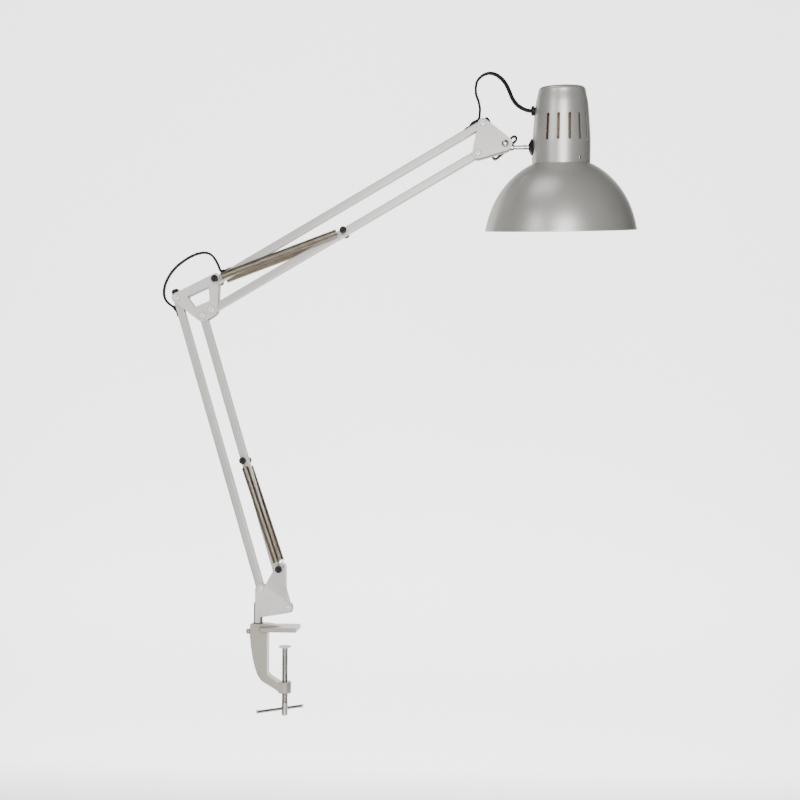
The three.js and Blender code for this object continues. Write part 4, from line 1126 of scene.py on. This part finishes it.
class LAMP_OT_head(bpy.types.Operator):
    """Makes the head bracket, its bolt and wing nut, and the knuckle with the stem"""

    bl_idname = "lamp.head"
    bl_label = "Head joint"

    wing_turn = math.radians(43)

    def bolt(self):
        place = along_frame(flat_to_plane(HEAD_BOLT), -DEPTH, side=(0, 0, 1))
        profile = rounded([(0, GRIP + 0.0033), (0.0022, GRIP + 0.0030), (0.0042, GRIP + 0.0017),
                           (0.0048, GRIP + 0.0004),
                           (0.0048, GRIP), (0.002, GRIP), (0.002, -0.0218), (0.0016, -0.022), (0, -0.022)],
                          0.0008)
        piece(lathe("head_bolt_turned", profile, place, 48), "steel", "head_bracket", ("head_bolt",))

    def wing_nut(self):
        """A moulded wing nut with a round hub and two looped wings."""
        start = PLATE_OUTER + 0.0003
        hub_place = along_frame(flat_to_plane(HEAD_BOLT), DEPTH, side=(0, 0, 1))
        hub = lathe("hub", rounded([(PIVOT_HOLE, start), (0.0071, start), (0.0075, start + 0.0008),
                                    (0.0072, start + 0.0098),
                                    (0.0062, start + 0.011), (PIVOT_HOLE, start + 0.011)], 0.0006),
                    hub_place, 48)
        spread = 0.0215
        wing = outline_round([((0, 0), 0.0056), ((spread - 0.0045, 0), 0.0045)])
        opening = outline_round([((0.0109, 0), 0.0018), ((spread - 0.0047, 0), 0.0022)])
        parts = [hub]
        for turn in (0, math.pi):
            loop = sheet_metal("wing", wing, start + 0.004, start + 0.012, 0.001, [opening])
            swung = Matrix.Rotation(turn - self.wing_turn, 4, "Y")
            loop.transform(Matrix.Translation(flat_to_plane(HEAD_BOLT)) @ swung)
            parts.append(loop)
        bore = lathe("bore", [(0, 0), (PIVOT_HOLE, 0), (PIVOT_HOLE, 0.04), (0, 0.04)], hub_place, 24)
        piece(cut(joined("wing_nut_moulded", *parts), bore), "black_plastic", "wing_nut", ("wing_nut",))

    def knuckle(self):
        half = TUBE / 2
        place = along_frame(flat_to_plane(HEAD_BOLT), -DEPTH, side=(0, 0, 1))
        eye = lathe("eye", rounded([(PIVOT_HOLE, -half), (0.008, -half), (0.008, half), (PIVOT_HOLE, half),
                                    (PIVOT_HOLE, -half)],
                                   0.0007), place, 56)
        stem_place = along_frame((0, 0, STEM_Z), (1, 0, 0))
        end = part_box("knuckle")[1][0]
        barrel = lathe("barrel", rounded([(0.0024, HEAD_BOLT.x + 0.005), (0.004, HEAD_BOLT.x + 0.005),
                                          (0.004, end - 0.0012),
                                          (0.0031, end), (0.0024, end)], 0.0005), stem_place, 40)
        piece(joined("knuckle_turned", eye, barrel), "steel", "knuckle", ("knuckle",))
        low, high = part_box("stem")
        radius, reach = 0.0027, high[0]
        collar = low[0] + 0.012
        profile = rounded([(0, low[0] - 0.001), (radius, low[0] - 0.001), (radius, collar),
                           (0.0031, collar + 0.0004),
                           (0.0031, collar + 0.0022), (radius, collar + 0.0027), (radius, reach - 0.0034),
                           (0.0055, reach - 0.0034), (0.0055, reach - 0.0006), (0.0050, reach), (0, reach)],
                          0.0003)
        piece(lathe("stem_turned", profile, stem_place, 40), "steel", "knuckle", ("stem",))

    def execute(self, context):
        edge = context.scene.lamp_sizes.plate_edge
        top, low, bolt = (flat(point) for point in (HEAD_TOP, HEAD_LOW, HEAD_BOLT))
        outline = outline_round([(top, 0.0062), (low, 0.0078), (bolt, 0.0094)])
        holes = [disc(centre, PIVOT_HOLE, 24) for centre in (top, low, bolt)]
        plate_pair("head", outline, edge, holes)
        rivet("head_top_rivet", top, "head_bracket")
        rivet("head_low_rivet", low, "head_bracket")
        self.bolt()
        self.wing_nut()
        self.knuckle()
        return {"FINISHED"}


def shade_frame():
    """The shade's own frame: Z up its axis, X away from the clamp, origin on the stem."""
    return Matrix.Translation((SHADE_AXIS, 0, STEM_Z)) @ Matrix.Rotation(SHADE_TILT, 4, "X")


class LAMP_OT_shade(bpy.types.Operator):
    """Makes the slotted neck, the spun dome, the cup washer and the cord gland"""

    bl_idname = "lamp.shade"
    bl_label = "Shade"

    shell = 0.001
    foot, taper, middle, shoulder = -0.0214, 0.014, (0.0339, 0.0536), (0.0306, 0.070)
    corner = 0.006
    ease = 0.0004
    slot_width, slot_low, slot_high, slot_pitch = 0.0039, 0.0072, 0.0408, 22.5

    def neck_profile(self, inset):
        radius, height = self.shoulder
        turns = [math.radians(8 + 82 * i / 8) for i in range(9)]
        reach = self.corner - inset
        wall = [(NECK_RADIUS - inset, self.foot), (NECK_RADIUS - inset, self.taper - 0.008),
                (NECK_RADIUS - self.ease - inset, self.taper), (self.middle[0] - inset, self.middle[1]),
                (radius - inset, height - 0.0014)]
        arc = [(radius - self.corner + reach * math.cos(turn),
                NECK_TOP - self.corner + reach * math.sin(turn))
               for turn in turns]
        dish = [(0.0085, NECK_TOP - inset), (0.0075, NECK_TOP - 0.0003 - inset)]
        smooth = smooth_path([(x, y, 0) for x, y in wall[1:]], 5)
        return [wall[0], *((point.x, point.y) for point in smooth), *arc, *dish]

    def neck(self):
        place = shade_frame()
        bore = 0.00335
        outer = self.neck_profile(0)
        inner = self.neck_profile(self.shell)[::-1]
        foot_edge = [(NECK_RADIUS - self.shell, self.foot), (NECK_RADIUS, self.foot)]
        hole_edge = [(bore, NECK_TOP - 0.0003), (bore, NECK_TOP - 0.0003 - self.shell)]
        profile = foot_edge + outer[1:] + hole_edge + inner[:-1]
        mesh = lathe("neck_drawn", profile + profile[:1], place, 144)
        centre = (self.slot_low + self.slot_high) / 2
        half = (self.slot_high - self.slot_low - self.slot_width) / 2
        outline = outline_round([((0, centre - half), self.slot_width / 2),
                                 ((0, centre + half), self.slot_width / 2)])
        cutters = []
        for i in range(round(360 / self.slot_pitch)):
            angle = self.slot_pitch * (i + 0.5) - 180
            if abs(angle + 90) > 45:
                tool = sheet_metal("slot", outline, -NECK_RADIUS - 0.01, -NECK_RADIUS + 0.02, 1e-5)
                tool.transform(place @ Matrix.Rotation(math.radians(angle), 4, "Z"))
                cutters.append(tool)
        for radius, height, reach in ((0.00305, 0.0, 0.008), (0.0046, GLAND_HEIGHT, 0.012)):
            way = along_frame((0, 0, height), (1, 0, 0))
            cutters.append(lathe("way", [(0, -NECK_RADIUS - 0.005), (radius, -NECK_RADIUS - 0.005),
                                         (radius, -NECK_RADIUS + reach), (0, -NECK_RADIUS + reach)],
                                 place @ way, 24))
        tools = joined("tools", *cutters)
        piece(cut(mesh, tools), "satin_silver", "shade", ("shade_neck",), 50)

    def dome(self):
        centre, half_width, half_height, rim = -0.128, 0.1006, 0.1149, -0.1078
        steps = 26
        seat = self.foot - 0.0003
        collar = NECK_RADIUS - self.shell - 0.0003

        def wall(inset):
            low = math.asin((rim - centre) / half_height)
            high = math.acos((NECK_RADIUS + 0.0006) / half_width)
            turns = (low + (high - low) * i / steps for i in range(steps + 1))
            return [((half_width - inset) * math.cos(turn), centre + (half_height - inset) * math.sin(turn))
                    for turn in turns]

        outer, inner = wall(0), wall(self.shell)
        bead = [(outer[0][0] - 0.0009, rim + 0.0012), (outer[0][0] - 0.0011, rim + 0.0004),
                (outer[0][0] - 0.0006, rim),
                (outer[0][0], rim + 0.0001), (outer[0][0] + 0.0003, rim + 0.0007)]
        shoulder = [(NECK_RADIUS + 0.0002, seat + 0.0002), (collar + 0.0003, seat), (collar, seat + 0.0005),
                    (collar, seat + 0.0106), (collar - 0.0003, seat + 0.011),
                    (collar - self.shell, seat + 0.0108),
                    (collar - self.shell, seat - 0.0014)]
        profile = bead + outer[1:] + shoulder + inner[:0:-1]
        piece(lathe("dome_spun", profile + profile[:1], shade_frame(), 144), "satin_silver", "shade",
              ("shade_dome",), 50)

    def trim(self):
        """The rivets that hold the neck to the dome, the cup washer and the gland."""
        place = shade_frame()
        for i, angle in enumerate((34, 154, 274)):
            outwards = along_frame((0, 0, -0.0156), (0, -1, 0), side=(0, 0, 1))
            spot = place @ Matrix.Rotation(math.radians(angle), 4, "Z") @ outwards
            head = rounded([(0, NECK_RADIUS + 0.0009), (0.0009, NECK_RADIUS + 0.0008),
                            (0.0016, NECK_RADIUS + 0.0003),
                            (0.0016, NECK_RADIUS - 0.0002), (0, NECK_RADIUS - 0.0002)], 0.0004)
            piece(lathe(f"neck_rivet_{i + 1}", head, spot, 24), "steel", "shade")
        washer_place = along_frame((-NECK_RADIUS - 0.0003, 0, 0), (1, 0, 0))
        low = -0.0046
        profile = rounded([(0.00305, low), (0.0042, low), (0.0052, low + 0.0006), (0.0105, -0.0014),
                           (0.0109, -0.0008),
                           (0.0109, -0.0002), (0.0104, 0), (0.0096, -0.0002), (0.0085, 0), (0.00305, 0)],
                          0.0004)
        washer = lathe("cup_washer_moulded", profile + profile[:1], washer_place, 56)
        for vertex in washer.vertices:
            vertex.co.x += NECK_RADIUS - math.sqrt(NECK_RADIUS ** 2 - vertex.co.y ** 2)
        washer.transform(place)
        piece(washer, "black_plastic", "shade", ("cup_washer",))
        low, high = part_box("cord_gland")
        gland_x = low[0] + 0.0044 - SHADE_AXIS
        gland_place = place @ along_frame((gland_x, 0, GLAND_HEIGHT), (1, 0, 0))
        profile = rounded([(0.003, -0.0044), (0.0046, -0.0044), (0.0055, -0.0040), (0.0064, -0.0028),
                           (0.0064, -0.0012),
                           (0.0060, -0.0003), (0.0042, -0.0003), (0.0042, 0.004), (0.003, 0.004),
                           (0.003, -0.0044)], 0.0004)
        piece(lathe("cord_gland_moulded", profile, gland_place, 48), "black_plastic", "shade",
              ("cord_gland",))

    def execute(self, context):
        self.neck()
        self.dome()
        self.trim()
        return {"FINISHED"}


class LAMP_OT_light(bpy.types.Operator):
    """Makes the lamp holder, its nipple and the bulb"""

    bl_idname = "lamp.light"
    bl_label = "Lamp holder and bulb"

    def execute(self, context):
        place = shade_frame()
        top = 0.052
        holder = rounded([(0, 0.030), (0.0146, 0.030), (0.0146, -0.006), (0.0192, -0.006), (0.0200, -0.0052),
                          (0.0200, 0.0),
                          (0.0225, 0.002), (0.0225, 0.010), (0.0200, 0.012), (0.0198, 0.020),
                          (0.0190, 0.0206),
                          (0.0190, 0.0216), (0.0197, 0.0222), (0.0196, top - 0.004), (0.016, top), (0, top)],
                         0.0008)
        piece(lathe("lamp_holder_moulded", holder, place, 64), "holder_plastic", "shade", ("lamp_holder",))
        seat = NECK_TOP + GAP
        tip = rounded([(0, top + 0.0003), (0.003, top + 0.0003), (0.003, seat), (0.0048, seat),
                       (0.0048, seat + 0.0006),
                       (0.0044, seat + 0.0010), (0.0030, seat + 0.0013), (0, seat + 0.0013)], 0.0003)
        piece(lathe("holder_nipple_turned", tip, place, 40), "steel", "shade", ("holder_nipple",))
        glass = smooth_path([(0, 0, -0.0866), (0.013, 0, -0.0846), (0.022, 0, -0.079), (0.0276, 0, -0.070),
                             (0.0298, 0, -0.058),
                             (0.027, 0, -0.042), (0.021, 0, -0.031), (0.016, 0, -0.020),
                             (0.0134, 0, -0.0085)], 6)
        piece(lathe("bulb_glass", [(max(0.0, point.x), point.z) for point in glass] + [(0.0126, -0.008),
                                                                                       (0, -0.008)],
                    place, 72), "opal_glass", "shade", ("bulb",))
        ridges = []
        for i in range(41):
            height = -0.0078 + 0.030 * i / 40
            ridges.append((0.0128 + 0.0004 * math.cos(2 * math.pi * i / 8), height))
        cap = [(0, -0.0078), (0.0124, -0.0078), *ridges, (0.006, 0.026), (0.0045, 0.0276), (0, 0.028)]
        piece(lathe("bulb_cap", cap, place, 48), "steel", "shade")
        return {"FINISHED"}


class LAMP_OT_flex(bpy.types.Operator):
    """Makes the flat flex: two stretches in the tubes and the loops at the elbow and the head"""

    bl_idname = "lamp.flex"
    bl_label = "Flat flex"

    entry = ((0.0215, 0.0021), (0.0190, 0.0040), (0.0166, 0.0056), (0.0134, 0.0073), (0.0102, 0.0082))
    head_entry = (*entry, (0.0076, 0.0081), (0.0048, 0.0077))
    elbow_route = (
        (-0.1576, 0.4282), (-0.1626, 0.4340), (-0.1648, 0.4424), (-0.1638, 0.4519), (-0.1603, 0.4612),
                   (-0.1546, 0.4705),
        (-0.1471, 0.4789), (-0.1386, 0.4853), (-0.1292, 0.4910), (-0.1197, 0.4948), (-0.1112, 0.4962),
        (-0.1046, 0.4950), (-0.0996, 0.4916), (-0.0956, 0.4864), (-0.0920, 0.4796),
    )
    elbow_split = 11
    head_route = (
        (0.2542, 0.6694, 0), (0.2549, 0.6754, 0), (0.2552, 0.6826, 0), (0.2534, 0.6922, 0),
                  (0.2504, 0.7010, 0), (0.2498, 0.7097, 0),
        (0.2516, 0.7183, 0), (0.2570, 0.7249, 0), (0.2642, 0.7286, 0), (0.2702, 0.7290, 0),
                  (0.2772, 0.7268, -0.0003),
        (0.2842, 0.7206, -0.0012), (0.2897, 0.7125, -0.0026), (0.2938, 0.7028, -0.0044),
                  (0.2977, 0.6924, -0.0064),
        (0.3030, 0.6842, -0.0082), (0.3095, 0.6788, -0.0094),
    )
    head_splits = (12, 17)
    broadside = math.radians(80)  # how far the falling part of the head loop is turned

    def section(self):
        """Two cores side by side under one sheath."""
        half = FLEX_THICKNESS / 2
        reach = FLEX_WIDTH / 2 - half
        points = []
        for centre, start in ((reach, -90), (-reach, 90)):
            for i in range(9):
                turn = math.radians(start + 180 * i / 8)
                points.append((centre + half * math.cos(turn), half * math.sin(turn)))
            points.append((0.0, half * 0.82 if start < 0 else -half * 0.82))
        return points

    def lying(self, places, pivot, along, outward):
        """Where the flex lies down on a tube, from distances along it from the pivot and off its middle."""
        return [pivot + along * reach + outward * height for reach, height in places]

    def loop(self, name, points, bodies, nodes=(), twist=(0.0, 0.0)):
        path = smooth_path(points, 8)
        made = piece(sweep(name, path, self.section(), DEPTH, twist), "flex", None, nodes, 60)
        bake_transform(made)

    def inner(self, node, start, end, outward):
        inset = TUBE / 2 - TUBE_WALL - FLEX_THICKNESS / 2 - 0.0003
        path = [point + outward * inset for point in (start, (start + end) / 2, end)]
        piece(sweep(f"{node}_sheathed", path, self.section(), DEPTH), "flex",
              frame["nodes"][node]["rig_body"], (node,), 60)

    def execute(self, context):
        outward = LOWER_ALONG.cross(DEPTH)
        upward = UPPER_ALONG.cross(DEPTH)
        elbow = [*self.lying(self.entry, ELBOW_REAR, -LOWER_ALONG, outward),
                 *(flat_to_plane(point) for point in self.elbow_route),
                 *self.lying(self.entry[::-1], ELBOW_TOP, UPPER_ALONG, upward)]
        self.loop("elbow_loop_rising", elbow[:self.elbow_split + 1], ("lower_rear_tube", "elbow_bracket"),
                  ("elbow_lead",))
        self.loop("elbow_loop_falling", elbow[self.elbow_split:], ("elbow_bracket", "upper_top_tube"))
        gland = shade_frame() @ Vector((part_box("cord_gland")[0][0] - SHADE_AXIS, 0, GLAND_HEIGHT))
        head = [*self.lying(self.head_entry, HEAD_TOP, -UPPER_ALONG, upward),
                *(Vector((x, y, z)) for x, z, y in self.head_route),
                gland + Vector((-0.005, 0, 0.0009)), gland, gland + Vector((0.006, 0, 0))]
        first, second = self.head_splits
        self.loop("head_loop_rising", head[:first + 1], ("upper_top_tube", "head_bracket"), ("head_lead",))
        self.loop("head_loop_over", head[first:second + 1], ("head_bracket", "knuckle"), (),
                  (0.0, self.broadside))
        self.loop("head_loop_falling", head[second:], ("knuckle", "shade"), (),
                  (self.broadside, self.broadside))
        self.inner("lower_lead", BASE_REAR + LOWER_ALONG * CORD_EXIT,
                   ELBOW_REAR - LOWER_ALONG * LEAD_SLOT, outward)
        self.inner("upper_lead", ELBOW_TOP + UPPER_ALONG * LEAD_SLOT,
                   HEAD_TOP - UPPER_ALONG * LEAD_SLOT, upward)
        return {"FINISHED"}


STEPS = (
    LAMP_OT_stage, LAMP_OT_clamp, LAMP_OT_base, LAMP_OT_lower_arm, LAMP_OT_elbow, LAMP_OT_upper_arm,
    LAMP_OT_head, LAMP_OT_shade, LAMP_OT_light, LAMP_OT_flex,
)


class LAMP_PT_panel(bpy.types.Panel):
    """Lists the lamp's sizes, colours and steps"""

    bl_idname = "LAMP_PT_panel"
    bl_label = "Balanced arm lamp"
    bl_space_type = "VIEW_3D"
    bl_region_type = "UI"
    bl_category = "Lamp"

    def draw(self, context):
        for group in (context.scene.lamp_sizes, context.scene.lamp_colours):
            column = self.layout.column()
            for name in group.__annotations__:
                column.prop(group, name)
        for step in STEPS:
            self.layout.operator(step.bl_idname)


CLASSES = (LampSizes, LampColours, *STEPS, LAMP_PT_panel)


def register():
    for each in CLASSES:
        bpy.utils.register_class(each)
    bpy.types.Scene.lamp_sizes = bpy.props.PointerProperty(type=LampSizes)
    bpy.types.Scene.lamp_colours = bpy.props.PointerProperty(type=LampColours)


def unregister():
    del bpy.types.Scene.lamp_sizes
    del bpy.types.Scene.lamp_colours
    for each in reversed(CLASSES):
        bpy.utils.unregister_class(each)


def main():
    register()
    make_finishes(bpy.context.scene.lamp_colours)
    bpy.ops.lamp.stage()
    bpy.ops.lamp.clamp()
    bpy.ops.lamp.base()
    bpy.ops.lamp.lower_arm()
    bpy.ops.lamp.elbow()
    bpy.ops.lamp.upper_arm()
    bpy.ops.lamp.head()
    bpy.ops.lamp.shade()
    bpy.ops.lamp.light()
    bpy.ops.lamp.flex()


if __name__ == "__main__":
    main()
